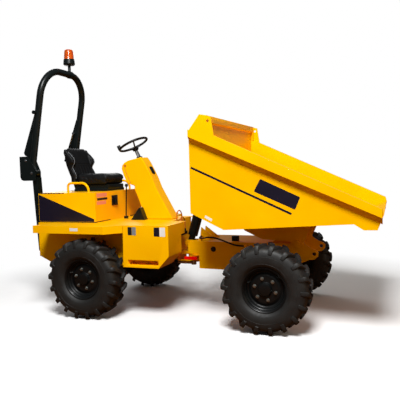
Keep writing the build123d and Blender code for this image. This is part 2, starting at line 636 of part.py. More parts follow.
def hoop_x(z):
    """x of the hoop's centre line at a height."""
    return ROPS_HINGE[0] - LEG_OFFSET + (z - ROPS_HINGE[1]) * lean_tan


LOCK_Z = 2250.0               # height of the locking pin on the right leg
lock_x = hoop_x(LOCK_Z) - 6
hoop_points = [(hoop_x(z), y, z) for y, z in ((-ROPS_Y, LEG_FOOT_Z), (-ROPS_Y, HOOP_TOP_Z),
                                               (ROPS_Y, HOOP_TOP_Z), (ROPS_Y, LEG_FOOT_Z))]
gusset_outline = [(hoop_x(2240), 2240), (hoop_x(2240) - 50, 2240), (ROPS_HINGE[0] - 162, 1790),
                  (ROPS_HINGE[0] - 150, 1762), (hoop_x(1705), 1705)]
with BuildPart() as rops_hoop:
    add(bent_bar(hoop_points, HOOP_BEND, ROPS_TUBE_RADIUS))
    for side in (-1, 1):
        y = side * ROPS_Y
        add(rod((ROPS_HINGE[0], y - 36, ROPS_HINGE[1]), (ROPS_HINGE[0], y + 36, ROPS_HINGE[1]), BOSS_RADIUS))
        add(rod((ROPS_HINGE[0], y, ROPS_HINGE[1]), (hoop_x(1680), y, 1680), 30))
        add(side_plate(gusset_outline, y - 5, y + 5))
        add(block((STRUT_HEAD[0] - 20, hoop_x(STRUT_HEAD[1])),
                  sorted((side * HOOP_INNER, side * (ROPS_Y + 30))),
                  (STRUT_HEAD[1] - 22, STRUT_HEAD[1] + 22)))
    add(rod((ROPS_HINGE[0], -CHEEK_OUTER, ROPS_HINGE[1]), (ROPS_HINGE[0], CHEEK_OUTER, ROPS_HINGE[1]),
            HINGE_PIN_RADIUS + RUNNING), mode=Mode.SUBTRACT)
    add(rod((lock_x, -ROPS_Y, LOCK_Z), (lock_x, -(CHEEK_OUTER - 14), LOCK_Z), 12))
    add(rod((lock_x, -(CHEEK_OUTER - 20), LOCK_Z), (lock_x, -CHEEK_OUTER, LOCK_Z), 22))
finish(rops_hoop.part, "rops_hoop")

beacon_x = hoop_x(HOOP_TOP_Z)
BEACON_Y = 99.0               # left of the middle, on the straight top of the hoop
BEACON_STEM_RADIUS = 18.0
BEACON_CLAMP_HALF = 20.0
BEACON_BASE_RADIUS = 72.0
BEACON_BASE_Z = (2877.0, 2948.0)
BEACON_LENS_RADIUS = 63.0
BEACON_LENS_TOP_RADIUS = 50.0
BEACON_TOP_Z = 3072.0
with BuildPart() as beacon_base:
    add(rod((beacon_x, BEACON_Y, HOOP_TOP_Z + ROPS_TUBE_RADIUS), (beacon_x, BEACON_Y, BEACON_BASE_Z[0] + 5),
            BEACON_STEM_RADIUS))
    with BuildSketch(Plane.XZ.offset(-BEACON_Y)):
        with BuildLine():
            Polyline((beacon_x, BEACON_BASE_Z[0]), (beacon_x + BEACON_BASE_RADIUS - 10, BEACON_BASE_Z[0]),
                     (beacon_x + BEACON_BASE_RADIUS, BEACON_BASE_Z[0] + 12),
                     (beacon_x + BEACON_LENS_RADIUS + 3, BEACON_BASE_Z[1]), (beacon_x, BEACON_BASE_Z[1]),
                     close=True)
        make_face()
    revolve(axis=Axis((beacon_x, BEACON_Y, 0), (0, 0, 1)))
    add(rod((beacon_x, BEACON_Y - BEACON_CLAMP_HALF, HOOP_TOP_Z),
            (beacon_x, BEACON_Y + BEACON_CLAMP_HALF, HOOP_TOP_Z),
            ROPS_TUBE_RADIUS + 7))
    add(rod((beacon_x, 0, HOOP_TOP_Z), (beacon_x, 2 * BEACON_Y, HOOP_TOP_Z), ROPS_TUBE_RADIUS),
        mode=Mode.SUBTRACT)
finish(beacon_base.part, "beacon_base")
with BuildPart() as beacon_lens:
    with BuildSketch(Plane.XY.offset(BEACON_BASE_Z[1])):
        with Locations((beacon_x, BEACON_Y)):
            Circle(BEACON_LENS_RADIUS)
    with BuildSketch(Plane.XY.offset(BEACON_TOP_Z)):
        with Locations((beacon_x, BEACON_Y)):
            Circle(BEACON_LENS_TOP_RADIUS)
    loft()
    fillet(beacon_lens.edges().group_by(Axis.Z)[-1], 14)
finish(beacon_lens.part, "beacon_lens")

# gas struts that carry the hoop while it is folded
strut_run = Vector(STRUT_HEAD[0], 0, STRUT_HEAD[1]) - Vector(STRUT_FOOT[0], 0, STRUT_FOOT[1])
strut_dir = strut_run.normalized()
strut_length = strut_run.length


def on_strut(distance, y):
    """A point along a gas strut from its foot."""
    return (STRUT_FOOT[0] + strut_dir.X * distance, y, STRUT_FOOT[1] + strut_dir.Z * distance)


STRUT_BARREL_RADIUS = 10.0
STRUT_ROD_RADIUS = 5.0
STRUT_BARREL_END = 240.0
with BuildPart() as strut_barrels:
    for side in (-1, 1):
        y = side * STRUT_Y
        foot_x, foot_z = STRUT_FOOT
        add(rod((foot_x, y - STRUT_HALF, foot_z), (foot_x, y + STRUT_HALF, foot_z), STRUT_EYE_RADIUS))
        add(rod(on_strut(0, y), on_strut(STRUT_BARREL_END, y), STRUT_BARREL_RADIUS))
        add(rod((foot_x, y - 15, foot_z), (foot_x, y + 15, foot_z), STRUT_PIN_RADIUS + RUNNING),
            mode=Mode.SUBTRACT)
        add(rod(on_strut(60, y), on_strut(STRUT_BARREL_END + 1, y), STRUT_ROD_RADIUS + RUNNING),
            mode=Mode.SUBTRACT)
finish(strut_barrels.part, "strut_barrels")
with BuildPart() as strut_rods:
    for side in (-1, 1):
        y = side * STRUT_Y
        head_x, head_z = STRUT_HEAD
        add(rod(on_strut(90, y), on_strut(strut_length, y), STRUT_ROD_RADIUS))
        add(rod((head_x, y - STRUT_HALF, head_z), (head_x, y + STRUT_HALF, head_z), STRUT_EYE_RADIUS))
        add(rod((head_x, y, head_z), (head_x, side * (HOOP_INNER - SEAT_GAP), head_z), STRUT_PIN_RADIUS))
finish(strut_rods.part, "strut_rods")

# ---------------------------------------------------------------- engine cover, seat and rails
BONNET_TOP_Z = 1318.0
BONNET_REAR_X = REAR_X + 2
COVER = 6.0
BONNET_HINGE = (BONNET_REAR_X + 8, BONNET_TOP_Z - 14)
HINGE_BARREL_RADIUS = 8.5
HINGE_ROD_RADIUS = 5.0
HINGE_EAR_Y = (480.0, 500.0)
HINGE_BARRELS_Y = [(440.0, HINGE_EAR_Y[0] - RUNNING), (HINGE_EAR_Y[1] + RUNNING, 540.0)]


def hinge_rod(y_low, y_high, radius):
    """A round bar along the engine cover's hinge line."""
    return rod((BONNET_HINGE[0], y_low, BONNET_HINGE[1]), (BONNET_HINGE[0], y_high, BONNET_HINGE[1]), radius)


with BuildPart() as bonnet:
    add(block((BONNET_REAR_X, BONNET_FRONT_X), (-BONNET_Y, BONNET_Y), (FLOOR_Z + SEAT_GAP, BONNET_TOP_Z)))
    add(block((BONNET_REAR_X - 1, BONNET_FRONT_X - COVER), (-BONNET_Y + COVER, BONNET_Y - COVER),
              (FLOOR_Z, BONNET_TOP_Z - COVER)), mode=Mode.SUBTRACT)
    for side in (-1, 1):
        for low, high in HINGE_BARRELS_Y:
            add(hinge_rod(side * low, side * high, HINGE_BARREL_RADIUS))
        add(hinge_rod(side * (HINGE_BARRELS_Y[0][0] - 1), side * (HINGE_BARRELS_Y[1][1] + 1),
                      HINGE_ROD_RADIUS + RUNNING),
            mode=Mode.SUBTRACT)
finish(bonnet.part, "bonnet")

GRILLE_Y = BONNET_Y - COVER - MOVING_GAP
GRILLE_TOP_Z = BONNET_TOP_Z - COVER - 34
with BuildPart() as rear_grille:
    add(block((REAR_X, REAR_X + 10), (-GRILLE_Y, GRILLE_Y), (deck_z - 34, GRILLE_TOP_Z)))
    with BuildSketch(Plane.YZ.offset(REAR_X)):
        with Locations((0, (deck_z + GRILLE_TOP_Z) / 2 + 10)):
            with GridLocations(2 * GRILLE_Y / 3, 34, 3, 7):
                SlotOverall(2 * GRILLE_Y / 3 - 50, 16)
    extrude(amount=10, mode=Mode.SUBTRACT)
    for side in (-1, 1):
        ear_y = sorted((side * HINGE_EAR_Y[0], side * HINGE_EAR_Y[1]))
        add(block((BONNET_HINGE[0] - 4, BONNET_HINGE[0] + 4), ear_y, (GRILLE_TOP_Z - 10, BONNET_HINGE[1])))
        add(hinge_rod(*ear_y, HINGE_BARREL_RADIUS - 1))
        add(hinge_rod(side * HINGE_BARRELS_Y[0][0], side * HINGE_BARRELS_Y[1][1], HINGE_ROD_RADIUS))
finish(rear_grille.part, "rear_grille")

SEAT_HALF = 240.0
CUSHION_X = (-1445.0, -1016.0)
CUSHION_Z = (1395.0, 1526.0)
CUSHION_CORNER = 110.0        # rounding of the cushion's front corners, seen from above
SHELL_HALF = 170.0
SHELL_THICKNESS = 38.0
# front face of the shell behind the backrest
SEAT_SHELL_LINE = [(-1460.0, CUSHION_Z[0] - 2), (-1606.0, 1790.0)]
with BuildPart() as seat_frame:
    add(block((-1480, CUSHION_X[1] - 22), (-SEAT_HALF + 30, SEAT_HALF - 30),
              (BONNET_TOP_Z, BONNET_TOP_Z + 30)))
    add(block((-1460, CUSHION_X[1] - 14), (-SEAT_HALF + 60, SEAT_HALF - 60),
              (BONNET_TOP_Z + 30, CUSHION_Z[0] - SEAT_GAP)))
    add(side_plate([(-1460 - SHELL_THICKNESS, BONNET_TOP_Z + 30), (-1460, BONNET_TOP_Z + 30),
                    *SEAT_SHELL_LINE,
                    (SEAT_SHELL_LINE[1][0] - SHELL_THICKNESS, SEAT_SHELL_LINE[1][1])], -SHELL_HALF,
                    SHELL_HALF))
finish(seat_frame.part, "seat_frame")

cushion_outline = [(CUSHION_X[0], CUSHION_Z[0]), (CUSHION_X[1] + 20, CUSHION_Z[0]),
                   (CUSHION_X[1], CUSHION_Z[0] + 30),
                   (CUSHION_X[1], CUSHION_Z[1] - 35), (CUSHION_X[1] - 40, CUSHION_Z[1]),
                   (CUSHION_X[0], CUSHION_Z[1] - 20)]
with BuildPart() as seat_cushion:
    add(side_plate(cushion_outline, -SEAT_HALF, SEAT_HALF))
    with BuildSketch(Plane.XY.offset(CUSHION_Z[0])):
        with Locations(((CUSHION_X[0] + CUSHION_X[1]) / 2 - CUSHION_CORNER, 0)):
            RectangleRounded(CUSHION_X[1] - CUSHION_X[0] + 2 * CUSHION_CORNER, 2 * SEAT_HALF, CUSHION_CORNER)
    extrude(amount=CUSHION_Z[1] - CUSHION_Z[0], mode=Mode.INTERSECT)
finish(seat_cushion.part, "seat_cushion")

(shell_foot_x, shell_foot_z), (shell_top_x, shell_top_z) = SEAT_SHELL_LINE
back_foot_z = CUSHION_Z[0] + 5
back_share = (back_foot_z - shell_foot_z) / (shell_top_z - shell_foot_z)
back_foot = (shell_foot_x + back_share * (shell_top_x - shell_foot_x) + 1.1 * SEAT_GAP, back_foot_z)
back_outline = [(CUSHION_X[0] - 7, back_foot_z), (CUSHION_X[0] - 7, 1520), (-1545, 1790), (-1574, 1846),
                (-1600, 1842), (shell_top_x + 1.1 * SEAT_GAP, shell_top_z), back_foot]
wing_outline = [(CUSHION_X[0] - 7, back_foot_z), (CUSHION_X[0] - 7, 1520), (-1494, 1600), (-1463, 1664),
                (-1466, 1704),
                (-1546, 1790), (-1570, 1830), (-1592, 1828), (-1598, 1796), (-1561, 1625), (-1513, 1510),
                (-1508, back_foot_z)]
with BuildPart() as seat_back:
    add(side_plate(back_outline, -SHELL_HALF - 4, SHELL_HALF + 4))
    for side in (-1, 1):
        add(side_plate(wing_outline, *sorted((side * (SHELL_HALF + 3), side * SEAT_HALF))))
finish(seat_back.part, "seat_back")

RAIL_BAR_RADIUS = 13.0
GRAB_Y = 480.0
GRAB_X = (-1378.0, -1108.0)
GRAB_HEIGHT = 106.0
GRAB_BENDS = [40.0, 90.0]     # at the back and at the front
with BuildPart() as grab_rails:
    for side in (-1, 1):
        y = side * GRAB_Y
        add(bent_bar([(GRAB_X[0], y, BONNET_TOP_Z), (GRAB_X[0], y, BONNET_TOP_Z + GRAB_HEIGHT),
                      (GRAB_X[1], y, BONNET_TOP_Z + GRAB_HEIGHT), (GRAB_X[1], y, BONNET_TOP_Z)],
                     GRAB_BENDS, RAIL_BAR_RADIUS))
finish(grab_rails.part, "grab_rails")

# ---------------------------------------------------------------- centre pivot and steering ram
YOKE_HALF = 62.0
SHAFT_END_X = 440.0
ARM_Z = (STEER_RAM_Z + STEER_EYE_HALF + MOVING_GAP, OSCILLATION_Z + YOKE_HEIGHT / 2 - 6)
FRONT_REAR_X = 120.0          # back of the front frame
# link that locks the steering for transport, stowed
LOCK_BAR_X = (STEER_RAM_HEAD[0] - 94, STEER_RAM_HEAD[0] + 56)
LOCK_BAR_Y = (STEER_RAM_HEAD[1] - 52, STEER_RAM_HEAD[1] - 36)
LOCK_BAR_Z = OSCILLATION_Z + 16
with BuildPart() as centre_yoke:
    add(block((PIVOT_X - YOKE_HALF, PIVOT_X + 100), (-YOKE_HALF, YOKE_HALF),
              (OSCILLATION_Z - YOKE_HEIGHT / 2, OSCILLATION_Z + YOKE_HEIGHT / 2)))
    with BuildSketch(Plane.XY.offset(ARM_Z[0])):
        with BuildLine():
            Polyline((PIVOT_X - 20, -YOKE_HALF + 10), (STEER_RAM_HEAD[0] - 30, STEER_RAM_HEAD[1]),
                     (STEER_RAM_HEAD[0] - 12, STEER_RAM_HEAD[1] - 30),
                     (STEER_RAM_HEAD[0] + 12, STEER_RAM_HEAD[1] - 30),
                     (STEER_RAM_HEAD[0] + 30, STEER_RAM_HEAD[1]), (PIVOT_X + 90, -YOKE_HALF + 10),
                     close=True)
        make_face()
    extrude(amount=ARM_Z[1] - ARM_Z[0])
    add(rod((PIVOT_X + 100, 0, OSCILLATION_Z), (FRONT_REAR_X - 8, 0, OSCILLATION_Z), 78))
    add(rod((PIVOT_X + 100, 0, OSCILLATION_Z), (SHAFT_END_X, 0, OSCILLATION_Z), SHAFT_RADIUS))
    add(rod((SHAFT_END_X, 0, OSCILLATION_Z), (SHAFT_END_X + 22, 0, OSCILLATION_Z), SHAFT_RADIUS + 18))
    add(rod((STEER_RAM_HEAD[0], STEER_RAM_HEAD[1], LOCK_BAR_Z),
            (STEER_RAM_HEAD[0], LOCK_BAR_Y[1], LOCK_BAR_Z), 11))
    with Locations((PIVOT_X, 0, OSCILLATION_Z)):
        Cylinder(PIN_RADIUS + RUNNING, 2 * YOKE_HEIGHT, mode=Mode.SUBTRACT)
finish(centre_yoke.part, "centre_yoke")

with BuildPart() as lock_bar:
    add(block((LOCK_BAR_X[0], LOCK_BAR_X[1]), LOCK_BAR_Y, (LOCK_BAR_Z - 18, LOCK_BAR_Z + 18)))
    fillet(lock_bar.edges().filter_by(Axis.Y), 14)
finish(lock_bar.part, "lock_bar")

steer_run = Vector(STEER_RAM_HEAD[0] - STEER_RAM_FOOT[0], STEER_RAM_HEAD[1] - STEER_RAM_FOOT[1], 0)
steer_dir = steer_run.normalized()
steer_length = steer_run.length


def on_steer(distance):
    """A point along the steering ram from its foot."""
    return (STEER_RAM_FOOT[0] + steer_dir.X * distance, STEER_RAM_FOOT[1] + steer_dir.Y * distance,
            STEER_RAM_Z)


STEER_BARREL_END = 500.0
STEER_BORE_RADIUS = 22.0
STEER_ROD_RADIUS = 15.0
STEER_ROD_START = 230.0
with BuildPart() as steer_barrel:
    add(rod((*STEER_RAM_FOOT, STEER_RAM_Z - STEER_EYE_HALF), (*STEER_RAM_FOOT, STEER_RAM_Z + STEER_EYE_HALF),
            30))
    add(rod(on_steer(0), on_steer(65), 19))
    add(rod(on_steer(60), on_steer(STEER_BARREL_END), 30))
    add(rod(on_steer(80), on_steer(STEER_BARREL_END + 1), STEER_ROD_RADIUS + RUNNING), mode=Mode.SUBTRACT)
    add(rod((*STEER_RAM_FOOT, 0), (*STEER_RAM_FOOT, 1000), STEER_PIN_RADIUS + RUNNING), mode=Mode.SUBTRACT)
finish(steer_barrel.part, "steer_barrel")
with BuildPart() as steer_rod:
    add(rod(on_steer(STEER_ROD_START), on_steer(steer_length), STEER_ROD_RADIUS))
    add(rod((*STEER_RAM_HEAD, STEER_RAM_Z - STEER_EYE_HALF + 2),
            (*STEER_RAM_HEAD, STEER_RAM_Z + STEER_EYE_HALF), 28))
finish(steer_rod.part, "steer_rod")

# ---------------------------------------------------------------- front frame
FRONT_Y = 280.0               # outer face of the front frame
FRONT_PLATE = 15.0
EYE = (1346.0, 674.0)         # towing and tie-down eye at the front
EYE_RADIUS = 20.0
BEARING_OUTER = 78.0
FRONT_TOP_Z = 770.0
CHEEK_BACK_X = FRONT_REAR_X - 125     # the side plates run on behind the cross wall beside the ram's foot
front_bottom = AXLE_PAD_TOP - 9
front_outline = [(FRONT_REAR_X, front_bottom), (axle_x - 110, front_bottom - 6), (axle_x - 95, AXLE_PAD_TOP),
                 (axle_x + 95, AXLE_PAD_TOP), (axle_x + 130, AXLE_PAD_TOP + 35), (1240, 585), (1300, 612),
                 (1350, 618),
                 (1384, 648), (1388, 690), (1368, 712), (1320, 728), (1252, 770), (1240, 812), (1215, 835),
                 (1170, 838), (1135, 815), (1110, 770), (900, FRONT_TOP_Z), (CHEEK_BACK_X + 45, FRONT_TOP_Z),
                 (CHEEK_BACK_X, FRONT_TOP_Z - 30), (CHEEK_BACK_X, 655), (FRONT_REAR_X, 640)]
rest_foot_z = FRONT_TOP_Z - 18
REST_OUTLINE = [(FRONT_REAR_X - 50, rest_foot_z), (FRONT_REAR_X - 60, 785), (FRONT_REAR_X - 45, 900),
                (FRONT_REAR_X + 130, FRONT_TOP_Z + 0.3), (FRONT_REAR_X - 0.3, FRONT_TOP_Z + 0.3),
                (FRONT_REAR_X - 0.3, rest_foot_z)]
RAM_LUG_Y = (RAM_EYE_WIDTH / 2 + MOVING_GAP, RAM_EYE_WIDTH / 2 + MOVING_GAP + THICK_PLATE)
ram_lug_outline = [(FRONT_REAR_X, 672), (RAM_FOOT[0] - 20, 672), (RAM_FOOT[0] - 46, 695),
                   (RAM_FOOT[0] - 46, 732),
                   (RAM_FOOT[0] - 26, 750), (FRONT_REAR_X - 70, 750), (FRONT_REAR_X - 45, FRONT_TOP_Z),
                   (FRONT_REAR_X, FRONT_TOP_Z)]
RAM_PIN_RADIUS = 20.0
front_inner = FRONT_Y - FRONT_PLATE
bearing_end_x = 390.0
NOSE_PLATE_X = 1060.0
FRAME_HOSE_RADIUS = 8.0
HOSE_START = (85.0, -RAM_LUG_Y[1] - 28, 800.0)
HOSE_END = (630.0, -FRONT_Y - 16, 735.0)
with BuildPart() as front_frame:
    add(block((HOSE_END[0], HOSE_END[0] + 26), (HOSE_END[1] - 12, -FRONT_Y + 1),
              (HOSE_END[2] - 12, HOSE_END[2] + 12)))
    for side in (-1, 1):
        add(side_plate(front_outline, *sorted((side * front_inner, side * FRONT_Y))))
        add(block((axle_x - 85, axle_x + 85), sorted((side * AXLE_PAD_Y[0], side * AXLE_PAD_Y[1])),
                  (AXLE_PAD_TOP, AXLE_PAD_TOP + THICK_PLATE)))
        add(rod((EYE[0], side * (front_inner - 1), EYE[1]), (EYE[0], side * (FRONT_Y + 1), EYE[1]),
                EYE_RADIUS),
            mode=Mode.SUBTRACT)
        add(rod((TIP_X, side * front_inner, TIP_Z), (TIP_X, side * (FRONT_Y + 45), TIP_Z), TIP_PIN_RADIUS))
finish(front_frame.part, "front_frame")

with BuildPart() as front_crossmember:
    add(block((FRONT_REAR_X, FRONT_REAR_X + THICK_PLATE), (-front_inner, front_inner),
              (front_bottom, FRONT_TOP_Z)))
    add(block((bearing_end_x, bearing_end_x + THICK_PLATE), (-front_inner, front_inner),
              (front_bottom, FRONT_TOP_Z)))
    add(block((FRONT_REAR_X, 900), (-front_inner, front_inner), (FRONT_TOP_Z - 8, FRONT_TOP_Z)))
    add(rod((FRONT_REAR_X, 0, OSCILLATION_Z), (bearing_end_x, 0, OSCILLATION_Z), BEARING_OUTER))
    add(rod((FRONT_REAR_X - 10, 0, OSCILLATION_Z), (SHAFT_END_X, 0, OSCILLATION_Z), SHAFT_RADIUS + RUNNING),
        mode=Mode.SUBTRACT)
    add(block((NOSE_PLATE_X, NOSE_PLATE_X + PLATE), (-front_inner, front_inner), (580, FRONT_TOP_Z - 30)))
finish(front_crossmember.part, "front_crossmember")

with BuildPart() as ram_lugs:
    for side in (-1, 1):
        add(side_plate(ram_lug_outline, *sorted((side * RAM_LUG_Y[0], side * RAM_LUG_Y[1]))))
    add(rod((RAM_FOOT[0], -RAM_LUG_Y[1] - 10, RAM_FOOT[1]), (RAM_FOOT[0], RAM_LUG_Y[1] + 10, RAM_FOOT[1]),
            RAM_PIN_RADIUS))
finish(ram_lugs.part, "ram_lugs")

with BuildPart() as ram_rests:
    for side in (-1, 1):
        add(side_plate(REST_OUTLINE, *sorted((side * RAM_LUG_Y[1], side * (RAM_LUG_Y[1] + 14)))))
    add(rod((HOSE_START[0], -RAM_LUG_Y[1] - 10, HOSE_START[2]), HOSE_START, FRAME_HOSE_RADIUS + 4))
finish(ram_rests.part, "ram_rests")

# rubber buffer that the lowered skip comes down towards
BUFFER_X = (466.0, 536.0)
BUFFER_Y = (-200.0, -150.0)
BUFFER_HEIGHT = 54.0
with BuildPart() as buffers:
    add(block(BUFFER_X, BUFFER_Y, (FRONT_TOP_Z, FRONT_TOP_Z + BUFFER_HEIGHT)))
    fillet(buffers.edges().group_by(Axis.Z)[-1], 6)
finish(buffers.part, "buffers")

# hose from a fitting beside the ram's foot, over the right side plate and into a fitting on its outer face
make_cord([(HOSE_START[0], HOSE_START[1], HOSE_START[2]), (85, -140, 800), (96, -195, 797), (125, -245, 796),
           (175, -283, 806), (240, -303, 820), (315, -308, 816), (390, -308, 794), (465, -306, 764),
           (535, -302, 742),
           (585, HOSE_END[1], HOSE_END[2]), (HOSE_END[0], HOSE_END[1], HOSE_END[2])], FRAME_HOSE_RADIUS,
           "frame_hose")

# ---------------------------------------------------------------- tipping ram
ram_run = Vector(RAM_HEAD[0] - RAM_FOOT[0], 0, RAM_HEAD[1] - RAM_FOOT[1])
ram_dir = ram_run.normalized()
ram_length = ram_run.length


def on_ram(distance):
    """A point along the tipping ram from its foot."""
    return (RAM_FOOT[0] + ram_dir.X * distance, 0, RAM_FOOT[1] + ram_dir.Z * distance)


# name, radius, start, end: the telescopic ram's stages along its axis
RAM_STAGES = [
    ("ram_barrel", 56.0, 90.0, 510.0),
    ("ram_stage_1", 46.0, 98.0, 522.0),
    ("ram_stage_2", 37.0, 102.0, 534.0),
    ("ram_rod", 28.0, 106.0, ram_length - 20),
]
for index, (stage_name, radius, start, end) in enumerate(RAM_STAGES):
    with BuildPart() as stage:
        add(rod(on_ram(start), on_ram(end), radius))
        if index < 3:
            add(rod(on_ram(RAM_STAGES[index + 1][2] - 2), on_ram(end + 1),
                    RAM_STAGES[index + 1][1] + RUNNING),
                mode=Mode.SUBTRACT)
        if index == 0:
            add(rod((RAM_FOOT[0], -RAM_EYE_WIDTH / 2, RAM_FOOT[1]),
                    (RAM_FOOT[0], RAM_EYE_WIDTH / 2, RAM_FOOT[1]), 38))
            add(rod(on_ram(25), on_ram(start + 1), 36))
            add(rod((RAM_FOOT[0], -60, RAM_FOOT[1]), (RAM_FOOT[0], 60, RAM_FOOT[1]),
                    RAM_PIN_RADIUS + RUNNING),
                mode=Mode.SUBTRACT)
        if index == 3:
            add(rod((RAM_HEAD[0], -RAM_EYE_WIDTH / 2, RAM_HEAD[1]),
                    (RAM_HEAD[0], RAM_EYE_WIDTH / 2, RAM_HEAD[1]), 34))
    finish(stage.part, stage_name)

# ---------------------------------------------------------------- skip
RIM_SLOPE = 23.6              # degrees, the fold under the rim
FOLD_REAR = (262.0, 1857.0)   # rear end of the rim's lower outer edge
LIP_X = HALF_LENGTH - 12     # front end of the rim
SIDE_TOP = [(LIP_X, 1171), (500, 1866), (262, 1924)]
CHIN_OUTLINE = [(HALF_LENGTH - 246, 1036), (HALF_LENGTH - 165, 985), (HALF_LENGTH - 52, 987),
                (HALF_LENGTH, 1122)]
SIDE_OUTLINE = [(250, 1124), (582, 966), (962, 986), *CHIN_OUTLINE,
                *SIDE_TOP, (250, 1900)]
WING_OUTLINE = [(262, 1900), (385, 2062), (497, 2034), (525, 1840), (430, 1840)]
WING_THICKNESS = 12.0
LIFT_EYE = (468.0, 1996.0)
LIFT_EYE_RADIUS = 14.0
FLOOR_LINE = [(250, 1124), (582, 966), (962, 986), CHIN_OUTLINE[0], CHIN_OUTLINE[-1]]
BACK_OUTLINE = [(250, 1124), (262, 1124), (428, 1750), (428, 2050), (416, 2050), (416, 1750)]
BAND_OUTLINE = [(428, 1978), (452, 1990), (452, 2050), (428, 2050)]
CAP_OUTLINE = [(262, 1912), (272, 1906), (392, 2046), (430, 2038), (430, 2052), (385, 2062)]


def make_rim_bar(side):
    """The folded channel outside the top edge of a skip side, its lower edge turned in at 45 degrees."""
    inner = SKIP_SIDE_Y - SKIP_SHEET
    overhang = RIM_Y - SKIP_SIDE_Y
    profile = [(inner, 150), (RIM_Y, 150), (RIM_Y, 0), (SKIP_SIDE_Y, -overhang), (inner, -overhang)]
    slope = radians(RIM_SLOPE)
    above = [(0, 2300), (0, 1988), *reversed(SIDE_TOP), (LIP_X + 297, 1034), (LIP_X + 297, 2300)]
    with BuildPart() as bar:
        with BuildSketch(Plane.YZ.offset(FOLD_REAR[0])):
            with BuildLine():
                Polyline(*[(side * y, FOLD_REAR[1] + z) for y, z in profile], close=True)
            make_face()
        extrude(amount=(LIP_X - FOLD_REAR[0]) / cos(slope), dir=(cos(slope), 0, -sin(slope)))
        add(side_plate(above, *sorted((side * (inner - 10), side * (RIM_Y + 10)))), mode=Mode.SUBTRACT)
    return bar.part


with BuildPart() as skip:
    floor_upper = [(x, z + SKIP_SHEET) for x, z in reversed(FLOOR_LINE)]
    add(side_plate(FLOOR_LINE + floor_upper, -SKIP_SIDE_Y, SKIP_SIDE_Y))
    for outline in (BACK_OUTLINE, BAND_OUTLINE, CAP_OUTLINE, CHIN_OUTLINE):
        add(side_plate(outline, -SKIP_SIDE_Y, SKIP_SIDE_Y))
    for side in (-1, 1):
        add(side_plate(SIDE_OUTLINE, *sorted((side * (SKIP_SIDE_Y - SKIP_SHEET), side * SKIP_SIDE_Y))))
        add(make_rim_bar(side))
        add(side_plate(WING_OUTLINE, *sorted((side * (RIM_Y - WING_THICKNESS), side * RIM_Y))))
        add(side_plate([(262, 1890), *CAP_OUTLINE[-1:], (452, 2050), (452, 1880)],
                       *sorted((side * (SKIP_SIDE_Y - 1), side * (RIM_Y - WING_THICKNESS + 1)))))
    with Locations((LIFT_EYE[0], 0, LIFT_EYE[1])):
        Cylinder(LIFT_EYE_RADIUS, 2 * RIM_Y + 2, rotation=(90, 0, 0), mode=Mode.SUBTRACT)
finish(skip.part, "skip")


def back_x(z):
    """x of the sloping back's outer face at a height."""
    (x_low, z_low), (x_high, z_high) = BACK_OUTLINE[0], BACK_OUTLINE[5]
    return x_low + (z - z_low) * (x_high - x_low) / (z_high - z_low)


RAM_HEAD_LUG = [(RAM_HEAD[0] - 40, RAM_HEAD[1] - 20), (RAM_HEAD[0] - 20, RAM_HEAD[1] + 38),
                (RAM_HEAD[0] + 15, RAM_HEAD[1] + 42), (back_x(1437), 1437), (back_x(1177), 1177),
                (RAM_HEAD[0] - 20, RAM_HEAD[1] - 40)]
SKIP_LUG = [(582, 966), (644, 898), (823, 815), (1100, 800), (1145, 770), (1155, 745), (1190, 735),
            (1228, 752),
            (1245, 790), (1271, 840), (1300, 905), (1312, 1007.6), (962, 986)]
LUG_CLEAR = 8.0               # between the front frame and a skip lug
SKIP_LUG_THICKNESS = 20.0
with BuildPart() as skip_brackets:
    for side in (-1, 1):
        add(side_plate(RAM_HEAD_LUG, *sorted((side * RAM_LUG_Y[0], side * RAM_LUG_Y[1]))))
        lug_y = FRONT_Y + LUG_CLEAR
        add(side_plate(SKIP_LUG, *sorted((side * lug_y, side * (lug_y + SKIP_LUG_THICKNESS)))))
    add(rod((TIP_X, -FRONT_Y - 100, TIP_Z), (TIP_X, FRONT_Y + 100, TIP_Z), TIP_PIN_RADIUS + RUNNING),
        mode=Mode.SUBTRACT)
finish(skip_brackets.part, "skip_brackets")
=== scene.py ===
"""Looks for the articulated site dumper: finishes, tyres, seat, hoses and trim, in metres."""
import json
from math import cos, pi, radians, sin, tan

import bmesh
import bpy
from mathutils import Matrix, Vector
from mathutils.bvhtree import BVHTree


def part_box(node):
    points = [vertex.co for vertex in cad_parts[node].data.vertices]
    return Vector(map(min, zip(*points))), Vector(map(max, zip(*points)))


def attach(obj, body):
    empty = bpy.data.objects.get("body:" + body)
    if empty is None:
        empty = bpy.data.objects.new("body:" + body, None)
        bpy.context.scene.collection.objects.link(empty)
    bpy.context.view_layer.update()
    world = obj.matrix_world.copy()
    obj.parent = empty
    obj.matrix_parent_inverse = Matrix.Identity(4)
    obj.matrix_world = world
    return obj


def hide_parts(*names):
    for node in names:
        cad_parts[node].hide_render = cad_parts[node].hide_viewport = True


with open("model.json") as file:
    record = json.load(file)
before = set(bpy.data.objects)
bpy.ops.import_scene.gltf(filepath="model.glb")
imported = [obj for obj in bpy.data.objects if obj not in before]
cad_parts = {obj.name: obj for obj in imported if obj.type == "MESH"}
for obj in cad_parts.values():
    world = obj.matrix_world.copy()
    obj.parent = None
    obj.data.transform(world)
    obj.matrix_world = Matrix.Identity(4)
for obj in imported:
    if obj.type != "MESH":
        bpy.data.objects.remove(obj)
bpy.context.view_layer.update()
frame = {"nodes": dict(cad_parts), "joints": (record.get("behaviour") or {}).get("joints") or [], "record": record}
NODES = frame["nodes"]
BODY_OF = {node: body for body, nodes in frame["record"]["behaviour"]["bodies"].items() for node in nodes}
JOINTS = {joint["name"]: joint for joint in frame["joints"]}
WHEELS = ("front_left", "front_right", "rear_left", "rear_right")
SIDES = ((-1, "right"), (1, "left"))      # sign of Y, name of the side
MM_PER_M = 1000.0
WHITE = (1.0, 1.0, 1.0, 1.0)


